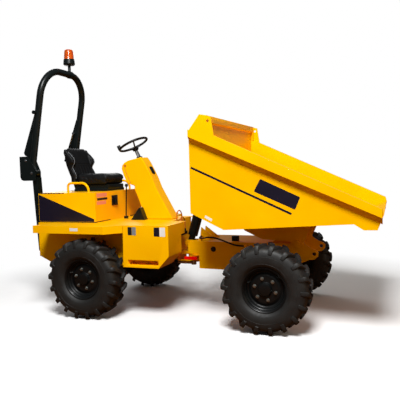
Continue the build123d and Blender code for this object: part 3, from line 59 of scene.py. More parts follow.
# ---------------------------------------------------------------- colour and nodes
def linear(hex_colour):
    """Linear RGBA from an sRGB hex string."""
    channels = [int(hex_colour[i:i + 2], 16) / 255 for i in (1, 3, 5)]
    return tuple(c / 12.92 if c <= 0.04045 else ((c + 0.055) / 1.055) ** 2.4 for c in channels) + (1.0,)


def grey(value):
    """A grey as RGBA, for a roughness or a shade."""
    return (value, value, value, 1.0)


def add_node(tree, kind, links=(), **settings):
    """Add a shader node with its settings, and (output socket, input name) pairs linked into it."""
    node = tree.nodes.new(kind)
    for name, value in settings.items():
        if name in node.inputs:
            node.inputs[name].default_value = value
        else:
            setattr(node, name.lower(), value)
    for source, target in links:
        tree.links.new(source, node.inputs[target])
    return node


def new_material(name, settings):
    """A material with one Principled shader; returns the material, its node tree and the shader."""
    material = bpy.data.materials.new(name)
    material.use_nodes = True
    tree = material.node_tree
    shader = tree.nodes["Principled BSDF"]
    for key, value in settings.items():
        shader.inputs[key].default_value = value
    return material, tree, shader


def patches(tree, target, size_mm, low, high, start=0.3, end=0.8, detail=4.0):
    """Fade an input from one colour to another in soft patches, each about size_mm across."""
    where = add_node(tree, "ShaderNodeTexCoord").outputs["Object"]
    cloud = add_node(tree, "ShaderNodeTexNoise", [(where, "Vector")],
                     Scale=MM_PER_M / size_mm, Detail=detail, Roughness=0.55)
    fade = add_node(tree, "ShaderNodeValToRGB", [(cloud.outputs["Fac"], "Fac")])
    first, last = fade.color_ramp.elements
    first.position, last.position = start, end
    first.color, last.color = low, high
    tree.links.new(fade.outputs["Color"], target)


def grain(tree, shader, size_mm, strength, depth, detail=2.0):
    """Raise fine marks, each about size_mm across, over whatever relief the shader already has."""
    where = add_node(tree, "ShaderNodeTexCoord").outputs["Object"]
    marks = add_node(tree, "ShaderNodeTexNoise", [(where, "Vector")],
                     Scale=MM_PER_M / size_mm, Detail=detail, Roughness=0.55)
    relief = add_node(tree, "ShaderNodeBump", [(marks.outputs["Fac"], "Height")],
                      Strength=strength, Distance=depth)
    for link in shader.inputs["Normal"].links:
        tree.links.new(link.from_socket, relief.inputs["Normal"])
    tree.links.new(relief.outputs["Normal"], shader.inputs["Normal"])


# ---------------------------------------------------------------- materials
def gloss_coat(name, colour, shade, roughness, tinted_gloss=False):
    """Two-pack enamel sprayed on steel, or vinyl film laid on it: glossy, with faint dust and orange peel."""
    material, tree, shader = new_material(name, {
        "Metallic": 0.0, "IOR": 1.45, "Specular IOR Level": 0.28, "Coat Weight": 0.08, "Coat Roughness": 0.1,
        "Specular Tint": linear(colour) if tinted_gloss else WHITE})
    patches(tree, shader.inputs["Base Color"], 455.0, linear(colour), linear(shade), 0.35, 0.75, 5.0)
    patches(tree, shader.inputs["Roughness"], 200.0, grey(roughness), grey(roughness + 0.14))
    grain(tree, shader, 2.4, 0.05, 0.0004)      # real orange peel is about 1 mm, drawn coarser to show
    return material


def make_tyre_rubber():
    """Moulded tyre rubber: near-black with a grey bloom and the fine texture of the mould."""
    material, tree, shader = new_material("tyre_rubber", {"Metallic": 0.0, "IOR": 1.52})
    patches(tree, shader.inputs["Base Color"], 111.0, linear("#090A09"), linear("#161715"), 0.3, 0.75, 6.0)
    patches(tree, shader.inputs["Roughness"], 62.5, grey(0.52), grey(0.74))
    grain(tree, shader, 3.3, 0.25, 0.0012, 3.0)  # the mould's texture is under 1 mm, drawn coarser to show
    return material


def plated_steel(name, low, high, roughness):
    """Plated steel, hard-chromed rod or dull zinc: bright, with very fine turning marks."""
    material, tree, shader = new_material(name, {"Metallic": 1.0, "Roughness": roughness})
    patches(tree, shader.inputs["Base Color"], 25.0, linear(low), linear(high))
    grain(tree, shader, 1.1, 0.08, 0.0003)      # turning marks are about 0.1 mm, drawn coarser to show
    return material


def make_seat_vinyl():
    """Calendered black seat vinyl: a leather-like grain of small cells with a soft sheen."""
    material, tree, shader = new_material("seat_vinyl", {
        "Metallic": 0.0, "IOR": 1.4, "Roughness": 0.5, "Specular IOR Level": 0.3})
    patches(tree, shader.inputs["Base Color"], 83.0, linear("#09090A"), linear("#101113"))
    where = add_node(tree, "ShaderNodeTexCoord").outputs["Object"]
    cells = add_node(tree, "ShaderNodeTexVoronoi", [(where, "Vector")], Scale=MM_PER_M / 2.4)
    relief = add_node(tree, "ShaderNodeBump", [(cells.outputs["Distance"], "Height")],
                      Strength=0.35, Distance=0.0008)
    tree.links.new(relief.outputs["Normal"], shader.inputs["Normal"])
    grain(tree, shader, 33.0, 0.15, 0.002, 3.0)  # slow waves where the cover lies over its foam
    return material


def moulded(name, low, high, roughness):
    """Moulded ABS or rubber: dull, with the even spark-eroded grain of its mould."""
    material, tree, shader = new_material(name, {
        "Metallic": 0.0, "IOR": 1.42, "Roughness": roughness, "Specular IOR Level": 0.35})
    patches(tree, shader.inputs["Base Color"], 40.0, linear(low), linear(high))
    grain(tree, shader, 0.7, 0.2, 0.0004)
    return material


def make_amber_acrylic():
    """Moulded amber acrylic: a clear tint that scatters light inside and shines on its flutes."""
    material, tree, shader = new_material("amber_acrylic", {
        "Metallic": 0.0, "IOR": 1.49, "Roughness": 0.12,
        "Transmission Weight": 0.25, "Subsurface Weight": 0.3})
    patches(tree, shader.inputs["Base Color"], 50.0, linear("#C04408"), linear("#E06410"))
    return material


SWEEP_START, SWEEP_END = 2.6, 4.2      # distance from the machine's middle over which the paper turns plain


def make_studio_paper():
    """Rolled studio paper: matt white with a faint grain and a shadow, running out to plain white.

    To bounced light the paper is a dim warm brown, a painted shade that darkens the machine's undersides and tints
    them orange; the camera sees the paper white.
    """
    material, tree, shader = new_material("studio_paper", {"Roughness": 0.9, "Specular IOR Level": 0.1})
    path = add_node(tree, "ShaderNodeLightPath")
    tone = add_node(tree, "ShaderNodeMix", [(path.outputs["Is Camera Ray"], "Factor")], data_type="RGBA")
    shade_tint_bounce, seen = tone.inputs[6], tone.inputs[7]
    # painted shade: a dim warm brown that only bounced light sees, darkening the machine's shaded undersides and
    # tinting them orange
    shade_tint_bounce.default_value = linear("#7A4A22")
    patches(tree, seen, 333.0, grey(0.97), grey(1.0))
    tree.links.new(tone.outputs[2], shader.inputs["Base Color"])
    where = add_node(tree, "ShaderNodeTexCoord").outputs["Object"]
    away = add_node(tree, "ShaderNodeVectorMath", [(where, 0)], operation="LENGTH")
    share = add_node(tree, "ShaderNodeMapRange", [(away.outputs["Value"], "Value")],
                     interpolation_type="SMOOTHSTEP")
    share.inputs["From Min"].default_value = SWEEP_START
    share.inputs["From Max"].default_value = SWEEP_END
    plain = add_node(tree, "ShaderNodeEmission", Color=WHITE, Strength=1.0)
    unlit = add_node(tree, "ShaderNodeMath",
                     [(share.outputs["Result"], 0), (path.outputs["Is Camera Ray"], 1)], operation="MULTIPLY")
    mix = add_node(tree, "ShaderNodeMixShader", [(unlit.outputs["Value"], 0), (shader.outputs[0], 1),
                                                 (plain.outputs[0], 2)])
    tree.links.new(mix.outputs[0], tree.nodes["Material Output"].inputs["Surface"])
    return material


MATERIALS = {
    "yellow": gloss_coat("yellow_enamel", "#FFC000", "#FFB400", 0.3, True),
    "black_paint": gloss_coat("black_enamel", "#070E0E", "#0B1313", 0.32),
    "rim": gloss_coat("rim_enamel", "#060808", "#0C0E0F", 0.36),
    "red_paint": gloss_coat("red_enamel", "#F01008", "#DE0E08", 0.3, True),
    "navy": gloss_coat("navy_vinyl_film", "#15121F", "#1B1728", 0.3),
    "pale": gloss_coat("pale_vinyl_film", "#EDEBE6", "#DAD8D2", 0.35),
    "pink": gloss_coat("salmon_vinyl_film", "#F09A7C", "#E88C70", 0.35),
    "tyre": make_tyre_rubber(),
    "steel": plated_steel("chromed_steel", "#8C8F92", "#B9BCBE", 0.22),
    "zinc": plated_steel("zinc_plated_steel", "#868C89", "#A6ABA8", 0.40),
    "seat_vinyl": make_seat_vinyl(),
    "black_plastic": moulded("black_abs", "#0A0A0A", "#131313", 0.42),
    "rubber": moulded("black_rubber", "#101010", "#191919", 0.6),
    "hose": moulded("orange_hose_rubber", "#B85A14", "#C86A1C", 0.5),
    "grey_plastic": moulded("grey_abs", "#70757A", "#878C90", 0.45),
    "amber": make_amber_acrylic(),
}
NODE_SLOT = {row["node"]: row["material_slot"] for row in frame["record"]["subparts"]}


# ---------------------------------------------------------------- pieces
def finish_piece(piece, body, slot, replaces=()):
    """Give a new piece the material of its slot and its body, and hide the nodes that it stands for."""
    if not piece.data.materials:
        piece.data.materials.append(MATERIALS[slot])
    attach(piece, body)
    if replaces:
        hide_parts(*replaces)


def new_mesh(name, bm, smooth_angle):
    """A mesh from a bmesh, smooth shaded except across edges sharper than the angle in degrees."""
    bmesh.ops.recalc_face_normals(bm, faces=bm.faces)
    mesh = bpy.data.meshes.new(name)
    bm.to_mesh(mesh)
    bm.free()
    mesh.shade_smooth()
    mesh.set_sharp_from_angle(angle=radians(smooth_angle))
    return mesh


def link_object(name, data):
    """A new object in the scene."""
    piece = bpy.data.objects.new(name, data)
    bpy.context.scene.collection.objects.link(piece)
    return piece


def new_piece(name, bm, smooth_angle=40):
    """An object in the scene from a bmesh."""
    return link_object(name, new_mesh(name, bm, smooth_angle))


def dress_node(node, rounding):
    """The node's own form with rounded edges that catch the light, in place of the plain solid."""
    bm = bmesh.new()
    bm.from_mesh(NODES[node].data)
    bmesh.ops.remove_doubles(bm, verts=bm.verts, dist=2e-5)
    bmesh.ops.dissolve_limit(bm, angle_limit=radians(0.8), verts=bm.verts, edges=bm.edges)
    piece = new_piece(f"{node}_body", bm)
    bevel = piece.modifiers.new("edges", "BEVEL")
    bevel.width = rounding
    bevel.segments = 2
    bevel.limit_method = "ANGLE"
    bevel.angle_limit = radians(32)
    bevel.harden_normals = True
    bevel.use_clamp_overlap = True
    finish_piece(piece, BODY_OF[node], NODE_SLOT[node], (node,))


def revolved(bm, profile, centre, steps):
    """A closed ring swept round an axis along Y. profile has (along the axis, radius) points."""
    rings = []
    for step in range(steps):
        angle = 2 * pi * step / steps
        rings.append([bm.verts.new(Vector(centre) + Vector((radius * sin(angle), along, radius * cos(angle))))
                      for along, radius in profile])
    for here, there in zip(rings, rings[1:] + rings[:1]):
        for index in range(len(profile)):
            after = (index + 1) % len(profile)
            bm.faces.new((here[index], here[after], there[after], there[index]))


def hex_bolt(bm, place_at, direction, across, height):
    """A washer with a chamfered hexagon head and a stub of thread, standing along a direction."""
    turn = Vector((0, 0, 1)).rotation_difference(Vector(direction)).to_matrix().to_4x4()
    seat = Matrix.Translation(Vector(place_at)) @ turn
    washer, head = across * 0.72, across / 2 / cos(radians(30))
    layers = [  # sides, then radius and share of the height at its foot and at its top
        (24, washer, 0.0, washer, 0.18), (6, head, 0.18, head, 0.78), (6, head, 0.78, head * 0.88, 0.9),
        (24, head * 0.42, 0.9, head * 0.42, 1.25)]
    for sides, low_radius, low, high_radius, high in layers:
        middle = Matrix.Translation((0, 0, (low + high) / 2 * height))
        bmesh.ops.create_cone(bm, cap_ends=True, segments=sides, radius1=low_radius, radius2=high_radius,
                              depth=(high - low) * height, matrix=seat @ middle)


def flat_panel(name, corners, normal, thickness, body, slot, rounding=0.0):
    """A thin plate on a flat surface, from its corners, with rounded corners."""
    round_steps = 4
    points = [Vector(corner) for corner in corners]
    outline = []
    for index, here in enumerate(points):
        before, after = points[index - 1], points[(index + 1) % len(points)]
        if not rounding:
            outline.append(here)
            continue
        start = here + (before - here).normalized() * rounding
        end = here + (after - here).normalized() * rounding
        for step in range(round_steps + 1):
            share = step / round_steps
            outline.append((1 - share) ** 2 * start + 2 * share * (1 - share) * here + share ** 2 * end)
    bm = bmesh.new()
    face = bm.faces.new([bm.verts.new(point) for point in outline])
    lift = Vector(normal).normalized() * thickness
    grown = bmesh.ops.extrude_face_region(bm, geom=[face])
    bmesh.ops.translate(bm, vec=lift, verts=[v for v in grown["geom"] if isinstance(v, bmesh.types.BMVert)])
    finish_piece(new_piece(name, bm, 30), body, slot)


def swept_tube(bm, points, radius, sides=12):
    """A round bead along points, with capped ends."""
    rings = []
    normal = None
    for index, point in enumerate(points):
        before, after = points[max(index - 1, 0)], points[min(index + 1, len(points) - 1)]
        tangent = (Vector(after) - Vector(before)).normalized()
        if normal is None:
            normal = tangent.orthogonal().normalized()
        normal = (normal - tangent * normal.dot(tangent)).normalized()
        across = tangent.cross(normal)
        turns = [2 * pi * k / sides for k in range(sides)]
        rings.append([bm.verts.new(Vector(point) + radius * (cos(turn) * normal + sin(turn) * across))
                      for turn in turns])
    for here, there in zip(rings, rings[1:]):
        for k in range(sides):
            bm.faces.new((here[k], here[(k + 1) % sides], there[(k + 1) % sides], there[k]))
    bm.faces.new(list(reversed(rings[0])))
    bm.faces.new(rings[-1])


def block_form(low, high, rounding, segments, profile):
    """A bmesh box between two corners with all its edges rounded."""
    bm = bmesh.new()
    bmesh.ops.create_cube(bm, size=1.0)
    bmesh.ops.scale(bm, vec=high - low, verts=bm.verts)
    bmesh.ops.translate(bm, vec=(low + high) / 2, verts=bm.verts)
    bmesh.ops.bevel(bm, geom=bm.edges[:], offset=rounding, segments=segments, profile=profile, affect="EDGES")
    return bm


# ---------------------------------------------------------------- camera
CAMERA_AT = (2.100, -5.450, 1.555)      # ahead of the machine on its right, at shoulder height
CAMERA_YAW, CAMERA_PITCH, CAMERA_ROLL = radians(-20.70), radians(-3.507), radians(-1.508)
LENS_MM, SENSOR_MM = 46.5, 36.0


def make_camera():
    """The viewpoint, aimed by yaw from +Y, pitch and roll."""
    forwards = Vector((sin(CAMERA_YAW) * cos(CAMERA_PITCH), cos(CAMERA_YAW) * cos(CAMERA_PITCH),
                       sin(CAMERA_PITCH)))
    level_right = Vector((cos(CAMERA_YAW), -sin(CAMERA_YAW), 0))
    level_up = level_right.cross(forwards)
    right = cos(CAMERA_ROLL) * level_right + sin(CAMERA_ROLL) * level_up
    up = cos(CAMERA_ROLL) * level_up - sin(CAMERA_ROLL) * level_right
    data = bpy.data.cameras.new("camera")
    data.sensor_width = SENSOR_MM
    data.lens = LENS_MM
    camera = link_object("camera", data)
    camera.matrix_world = Matrix.Translation(CAMERA_AT) @ Matrix((right, up, -forwards)).transposed().to_4x4()
    bpy.context.scene.camera = camera


make_camera()


# ---------------------------------------------------------------- hoses
def make_hose(name, route, radius, slot):
    """A hose along the same route points as its solid."""
    curve = bpy.data.curves.new(f"{name}_line", "CURVE")
    curve.dimensions = "3D"
    spline = curve.splines.new("NURBS")
    spline.points.add(len(route) - 1)
    for point, place in zip(spline.points, route):
        point.co = (*place, 1.0)
    spline.order_u = 3
    spline.use_endpoint_u = True
    spline.resolution_u = 16
    curve.bevel_depth = radius
    curve.bevel_resolution = 6
    hose = link_object(f"{name}_skin", curve)
    finish_piece(hose, BODY_OF[name], slot, (name,))


VALVE_HOSE_1 = [
    (-0.175, -0.174, 0.878), (-0.175, -0.174, 0.9446), (-0.178, -0.176, 1.044), (-0.180, -0.1311, 1.086),
    (-0.179, -0.0689, 1.088), (-0.177, -0.025, 1.044), (-0.175, -0.026, 0.9446), (-0.175, -0.026, 0.878)]
VALVE_HOSE_2 = [
    (-0.139, -0.174, 0.878), (-0.139, -0.174, 0.9115), (-0.142, -0.176, 0.970), (-0.144, -0.1311, 1.012),
    (-0.143, -0.0689, 1.014), (-0.141, -0.025, 0.970), (-0.139, -0.026, 0.9115), (-0.139, -0.026, 0.878)]
FRAME_HOSE = [
    (0.085, -0.092, 0.800), (0.085, -0.140, 0.800), (0.096, -0.195, 0.797), (0.125, -0.245, 0.796),
    (0.175, -0.283, 0.806), (0.240, -0.303, 0.820), (0.315, -0.308, 0.816), (0.390, -0.308, 0.794),
    (0.465, -0.306, 0.764), (0.535, -0.302, 0.742), (0.585, -0.296, 0.735), (0.630, -0.296, 0.735)]
# name, route, radius and finish of each hose
make_hose("valve_hose_1", VALVE_HOSE_1, 0.006, "hose")
make_hose("valve_hose_2", VALVE_HOSE_2, 0.006, "hose")
make_hose("frame_hose", FRAME_HOSE, 0.008, "rubber")


# ---------------------------------------------------------------- tyres and rims
TYRE_RADIUS = 0.4225
LUG_COUNT = 18
LUG_SLANT = radians(27)
LUG_SHOULDER = 0.125      # distance from the tyre's middle at which a lug stops slanting
LUG_EDGE = 0.0035         # rounding of a lug's top edges
LUG_FLARE = 0.004         # how much wider a lug is at its root than at its top, on each side
CARCASS = [  # across, radius: the section from the bead over the shoulder to the tread's middle
    (0.108, 0.196), (0.112, 0.214), (0.119, 0.221), (0.131, 0.232), (0.139, 0.252), (0.1432, 0.276),
    (0.1440, 0.300), (0.1418, 0.326), (0.1370, 0.348), (0.1300, 0.366), (0.1180, 0.380), (0.0900, 0.390),
    (0.0450, 0.3955), (0.0, 0.397)]
TREAD_FOOT = 0.34         # radius above which the section counts as tread and shoulder
LUG_STATIONS = [  # across, top radius, half width: along one lug, from the tread's middle to the side wall
    (0.004, 0.4190, 0.0150), (0.012, TYRE_RADIUS, 0.0165), (0.060, TYRE_RADIUS, 0.0180),
    (0.100, TYRE_RADIUS - 0.0015, 0.0195), (0.119, TYRE_RADIUS - 0.0050, 0.0205),
    (0.130, TYRE_RADIUS - 0.0160, 0.0210), (0.1385, 0.3850, 0.0205), (0.1425, 0.3600, 0.0190),
    (0.1438, 0.3440, 0.0160)]
SIDE_RINGS = [(0.246, 0.0016), (0.312, 0.0014)]   # radius and height of the moulded rings on the side wall


def carcass_radius(across):
    """Outer radius of the tyre's body at a distance from its middle, over the tread and shoulder."""
    tread = [point for point in CARCASS if point[1] > TREAD_FOOT]
    for (y1, r1), (y2, r2) in zip(tread, tread[1:]):
        if y2 <= across <= y1:
            return r2 + (r1 - r2) * (across - y2) / (y1 - y2)
    return tread[0][1]


def add_lug(bm, side, turn):
    """One slanting bar from the tread's middle over the shoulder, on a hub-centred ring."""
    rings = []
    for across, top, half in LUG_STATIONS:
        root = min(carcass_radius(across) - 0.006, top - 0.004)
        lean = -min(across, LUG_SHOULDER) * tan(LUG_SLANT) - max(across - LUG_SHOULDER, 0.0) * 0.2
        sink = 0.004 if across > 0.12 else 0.0      # the root lies inside the side wall
        section = [(-half - LUG_FLARE, root), (-half, top - LUG_EDGE), (-half + LUG_EDGE, top),
                   (half - LUG_EDGE, top), (half, top - LUG_EDGE), (half + LUG_FLARE, root)]
        ring = []
        for offset, radius in section:
            angle = turn + (lean + offset) / TYRE_RADIUS
            y = side * (across - (sink if radius == root else 0.0))
            ring.append(bm.verts.new((radius * sin(angle), y, radius * cos(angle))))
        rings.append(ring)
    for here, there in zip(rings, rings[1:]):
        for k in range(len(here)):
            after = (k + 1) % len(here)
            bm.faces.new((here[k], here[after], there[after], there[k]))
    bm.faces.new(rings[0])
    bm.faces.new(list(reversed(rings[-1])))


def side_wall_point(below, above, radius, rise):
    """A point of the section at a radius, on the line between two others and raised off it."""
    (y1, r1), (y2, r2) = below, above
    return (y1 + (y2 - y1) * (radius - r1) / (r2 - r1) + rise, radius)


def make_tyre_mesh():
    """Body and two staggered rows of lugs, centred on the hub."""
    bm = bmesh.new()
    half = list(CARCASS)
    for ring_radius, height in SIDE_RINGS:
        index = next(i for i, (_, radius) in enumerate(half) if radius > ring_radius)
        ends = half[index - 1], half[index]
        half[index:index] = [side_wall_point(*ends, ring_radius + step, rise) for step, rise in
                             ((-0.003, 0.0), (-0.0018, height), (0.0018, height), (0.003, 0.0))]
    revolved(bm, half + [(-y, radius) for y, radius in reversed(half[:-1])], (0, 0, 0), 120)
    pitch = 2 * pi / LUG_COUNT
    for side in (-1, 1):
        for index in range(LUG_COUNT):
            add_lug(bm, side, (index + (side + 1) / 4) * pitch)
    return new_mesh("tyre_form", bm, 38)


RIM_FACE = [  # outwards from the rim's middle, radius: the pressed dish, its well and the outer flange
    (0.0925, 0.0), (0.0925, 0.050), (0.0905, 0.058), (0.084, 0.062), (0.078, 0.064), (0.070, 0.066),
    (0.0655, 0.070), (0.0645, 0.084), (0.0645, 0.124), (0.0625, 0.136), (0.052, 0.150), (0.0485, 0.160),
    (0.051, 0.168), (0.058, 0.174), (0.074, 0.178), (0.080, 0.182), (0.084, 0.188), (0.098, 0.189),
    (0.104, 0.193), (0.1085, 0.200), (0.1135, 0.207), (0.1175, 0.2105), (0.1178, 0.206), (0.1125, 0.1975),
    (0.106, 0.1945)]
RIM_BACK = [  # the same for the inner flange, the back of the dish and the bore over the spindle
    (-0.106, 0.1945), (-0.1125, 0.1975), (-0.1178, 0.206), (-0.1175, 0.2105), (-0.111, 0.205),
    (-0.104, 0.187), (-0.060, 0.183), (-0.050, 0.172), (0.040, 0.170), (0.044, 0.150), (0.052, 0.110),
    (0.050, 0.084), (-0.062, 0.084), (-0.068, 0.078), (-0.068, 0.036), (-0.066, 0.0355), (0.060, 0.0355),
    (0.064, 0.0)]
NUT_COUNT = 6
NUT_CIRCLE = 0.1025       # radius on which the wheel nuts stand
NUT_SEAT = 0.0640         # distance of the nuts' seat from the rim's middle


def make_rim_mesh():
    """Pressed steel rim facing +Y, centred on the hub."""
    bm = bmesh.new()
    revolved(bm, RIM_FACE + RIM_BACK, (0, 0, 0), 96)
    bmesh.ops.remove_doubles(bm, verts=bm.verts, dist=1e-6)
    bmesh.ops.dissolve_degenerate(bm, edges=bm.edges, dist=1e-6)
    return new_mesh("rim_form", bm, 34)


def make_nut_mesh():
    """The wheel nuts on their studs and the valve, on a rim facing +Y."""
    bm = bmesh.new()
    for index in range(NUT_COUNT):
        angle = 2 * pi * (index + 0.25) / NUT_COUNT
        hex_bolt(bm, (NUT_CIRCLE * sin(angle), NUT_SEAT, NUT_CIRCLE * cos(angle)), (0, 1, 0), 0.024, 0.020)
    swept_tube(bm, [(0.150, 0.052, 0.060), (0.152, 0.075, 0.061), (0.158, 0.090, 0.063)], 0.0045)
    return new_mesh("nut_form", bm, 30)


def place_wheel_parts():
    """Tyre, rim and nuts on each wheel. The lugs' bars point the same way on all four tyres."""
    parts = [  # kind, mesh, finish, whether it stands for a node, whether it turns to face outwards
        ("tyre", make_tyre_mesh(), "tyre", True, False), ("rim", make_rim_mesh(), "rim", True, True),
        ("nuts", make_nut_mesh(), "zinc", False, True)]
    for wheel in WHEELS:
        hub = Matrix.Translation(JOINTS[f"wheel_{wheel}_spin"]["pos_m"])
        for kind, mesh, slot, stands_for_node, faces_out in parts:
            piece = link_object(f"{kind}_{wheel}_form", mesh)
            half_turn = faces_out and wheel.endswith("right")
            piece.matrix_world = hub @ Matrix.Rotation(pi if half_turn else 0.0, 4, "Z")
            finish_piece(piece, f"wheel_{wheel}", slot, (f"{kind}_{wheel}",) if stands_for_node else ())


place_wheel_parts()


# ---------------------------------------------------------------- sheet metal and castings
EDGE_ROUNDING = {  # node, rounding of its edges in metres
    "skip": 0.0035, "skip_brackets": 0.003, "front_frame": 0.003, "front_crossmember": 0.002,
    "ram_lugs": 0.003, "ram_rests": 0.002, "rear_frame": 0.002, "fender_left": 0.0025, "fender_right": 0.0025,
    "floor_plate": 0.0015, "tank_left": 0.004, "tank_right": 0.004, "steering_tower": 0.012, "bonnet": 0.006,
    "centre_yoke": 0.003, "lock_bar": 0.003, "valve_block": 0.002, "buffers": 0.002, "engine": 0.01,
    "rear_grille": 0.001, "seat_frame": 0.004, "pedals": 0.002, "levers": 0.001, "rops_posts": 0.003,
    "rops_hoop": 0.0015, "beacon_base": 0.002, "strut_barrels": 0.001, "strut_rods": 0.0008,
    "steering_pin": 0.001, "steer_barrel": 0.001, "steer_rod": 0.001, "ram_barrel": 0.002,
    "ram_stage_1": 0.001, "ram_stage_2": 0.001, "ram_rod": 0.001, "front_axle": 0.002, "rear_axle": 0.002,
    "grab_rails": 0.001, "steering_wheel": 0.0008}
for node_name, node_rounding in EDGE_ROUNDING.items():
    dress_node(node_name, node_rounding)


# ---------------------------------------------------------------- beacon
FLUTES = 24
FLUTE_DEPTH = 0.018       # share of the dome's radius
DOME_SHOULDER = 0.86      # share of the dome's height at which it rounds over
DOME_TAPER = 0.2          # share of the foot's radius that is lost towards the top


def make_beacon_lens():
    """Fluted amber dome over the lamp's base."""
    low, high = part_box("beacon_lens")
    centre = (low + high) / 2
    height, foot = high.z - low.z, (high.x - low.x) / 2
    bm = bmesh.new()
    steps, layers = 96, 20
    rings = []
    for layer in range(layers + 1):
        share = layer / layers
        radius = foot * (1 - DOME_TAPER * share)
        if share > DOME_SHOULDER:
            radius *= max(0.02, (1 - ((share - DOME_SHOULDER) / (1 - DOME_SHOULDER)) ** 2.4)) ** 0.5
        fluted = 0.05 < share < 0.84
        ring = []
        for step in range(steps):
            angle = 2 * pi * step / steps
            dip = FLUTE_DEPTH * (0.5 + 0.5 * cos(FLUTES * angle)) if fluted else 0.0
            reach = radius * (1 - dip)
            ring.append(bm.verts.new((centre.x + reach * cos(angle), centre.y + reach * sin(angle),
                                      low.z + height * share)))
        rings.append(ring)
    for here, there in zip(rings, rings[1:]):
        for k in range(steps):
            bm.faces.new((here[k], here[(k + 1) % steps], there[(k + 1) % steps], there[k]))
    bm.faces.new(list(reversed(rings[0])))
    bm.faces.new(rings[-1])
    finish_piece(new_piece("beacon_dome", bm, 50), BODY_OF["beacon_lens"], "amber", ("beacon_lens",))


make_beacon_lens()


# ---------------------------------------------------------------- seat
PAD_VOXEL = 0.006         # remeshing step of the foam


def soften(piece, rounds):
    """Round the edges of a fine mesh by averaging neighbours."""
    bm = bmesh.new()
    bm.from_mesh(piece.data)
    for _ in range(rounds):
        bmesh.ops.smooth_vert(bm, verts=bm.verts, factor=0.5,
                              use_axis_x=True, use_axis_y=True, use_axis_z=True)
    bm.to_mesh(piece.data)
    bm.free()


def inflate(piece, cap, rounds=0):
    """Remesh, soften and blow the piece up gently as cloth, moving no point further than the cap."""
    pressure, frames = 4.0, 20
    scene = bpy.context.scene
    bpy.context.view_layer.objects.active = piece
    for other in bpy.context.selected_objects:
        other.select_set(False)
    piece.select_set(True)
    remesh = piece.modifiers.new("voxels", "REMESH")
    remesh.mode = "VOXEL"
    remesh.voxel_size = PAD_VOXEL
    bpy.ops.object.modifier_apply(modifier=remesh.name)
    soften(piece, rounds)
    before = [vertex.co.copy() for vertex in piece.data.vertices]
    cloth = piece.modifiers.new("cloth", "CLOTH")
    cloth.settings.use_pressure = True
    cloth.settings.uniform_pressure_force = pressure
    cloth.settings.effector_weights.gravity = 0.0
    cloth.settings.quality = 5
    cloth.point_cache.frame_end = frames
    for step in range(1, frames + 1):
        scene.frame_set(step)
    bpy.ops.object.modifier_apply(modifier=cloth.name)
    scene.frame_set(1)
    for vertex, start in zip(piece.data.vertices, before):
        move = vertex.co - start
        if move.length > cap:
            vertex.co = start + move.normalized() * cap
    piece.data.shade_smooth()


def subdivide(piece):
    """One smooth level of subdivision."""
    modifier = piece.modifiers.new("smooth", "SUBSURF")
    modifier.levels = 1
    modifier.render_levels = 1


PANEL_SHARE = 0.60        # share of the cushion's half width that the stitched centre panel takes
SEAM_DEPTH = 0.007


def shape_cushion(point, low, high):
    """Raise the side bolsters, dip the middle and round the front of the seat cushion."""
    across = abs(point.y) / high.y
    along = (point.x - low.x) / (high.x - low.x)
    lift = tuck = 0.0
    if point.z > (low.z + high.z) / 2:
        dip = 0.010 * (1 - min(1.0, across / 0.62) ** 2) * sin(pi * min(1.0, along * 1.05))
        lift = 0.004 - dip - 0.022 * max(0.0, along - 0.84) / 0.16
    else:
        tuck = 0.02 * max(0.0, along - 0.85) / 0.15
    return Vector((point.x - tuck, point.y * (1 - 0.05 * along), point.z + lift))


def make_seat_cushion():
    """Squab with raised sides and a stitched centre panel."""
    low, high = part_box("seat_cushion")
    inset = Vector((0.012, 0.014, 0.010))
    cut_low, cut_high = low + inset - Vector((0, 0, 0.008)), high - inset
    bm = block_form(cut_low, cut_high, 0.034, 4, 0.6)
    bmesh.ops.subdivide_edges(bm, edges=bm.edges[:], cuts=5, use_grid_fill=True)
    squab = new_piece("seat_squab", bm, 180)
    for vertex in squab.data.vertices:
        vertex.co = shape_cushion(vertex.co, low, high)
    inflate(squab, 0.008)
    for vertex in squab.data.vertices:
        point = vertex.co
        across = abs(point.y) / high.y
        side_seam = max(0.0, 1 - abs(across - PANEL_SHARE) / 0.035)
        cross_seam = 0.8 * max(0.0, 1 - abs(point.x - low.x - 0.17) / 0.010) * (across < PANEL_SHARE)
        groove = side_seam + cross_seam
        if point.z > low.z + 0.05 and groove > 0:
            vertex.co = point + Vector((0, 0, -SEAM_DEPTH * min(1.0, groove)))
        vertex.co.z = max(vertex.co.z, low.z + 0.001)
    subdivide(squab)
    finish_piece(squab, BODY_OF["seat_cushion"], "seat_vinyl", ("seat_cushion",))


def make_seat_back():
    """Wrap-round back rest: thick wings down both sides, a ribbed lower panel and sewn seams."""
    low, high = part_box("seat_back")
    bm = bmesh.new()
    bm.from_mesh(NODES["seat_back"].data)
    rest = new_piece("seat_backrest", bm, 180)
    inflate(rest, 0.007, rounds=14)
    for vertex, normal in [(vertex, vertex.normal.copy()) for vertex in rest.data.vertices]:
        share = (vertex.co.z - low.z) / (high.z - low.z)
        across = abs(vertex.co.y)
        if normal.x < 0.25:
            continue
        rib = max(0.0, cos(across / 0.028 * pi)) ** 3 if across < 0.150 and 0.12 < share < 0.52 else 0.0
        seam = max(0.0, 1 - abs(share - 0.55) / 0.012) if across < 0.165 else 0.0
        vertex.co.x -= 0.005 * max(rib, seam)
    subdivide(rest)
    finish_piece(rest, BODY_OF["seat_back"], "seat_vinyl", ("seat_back",))
    return rest


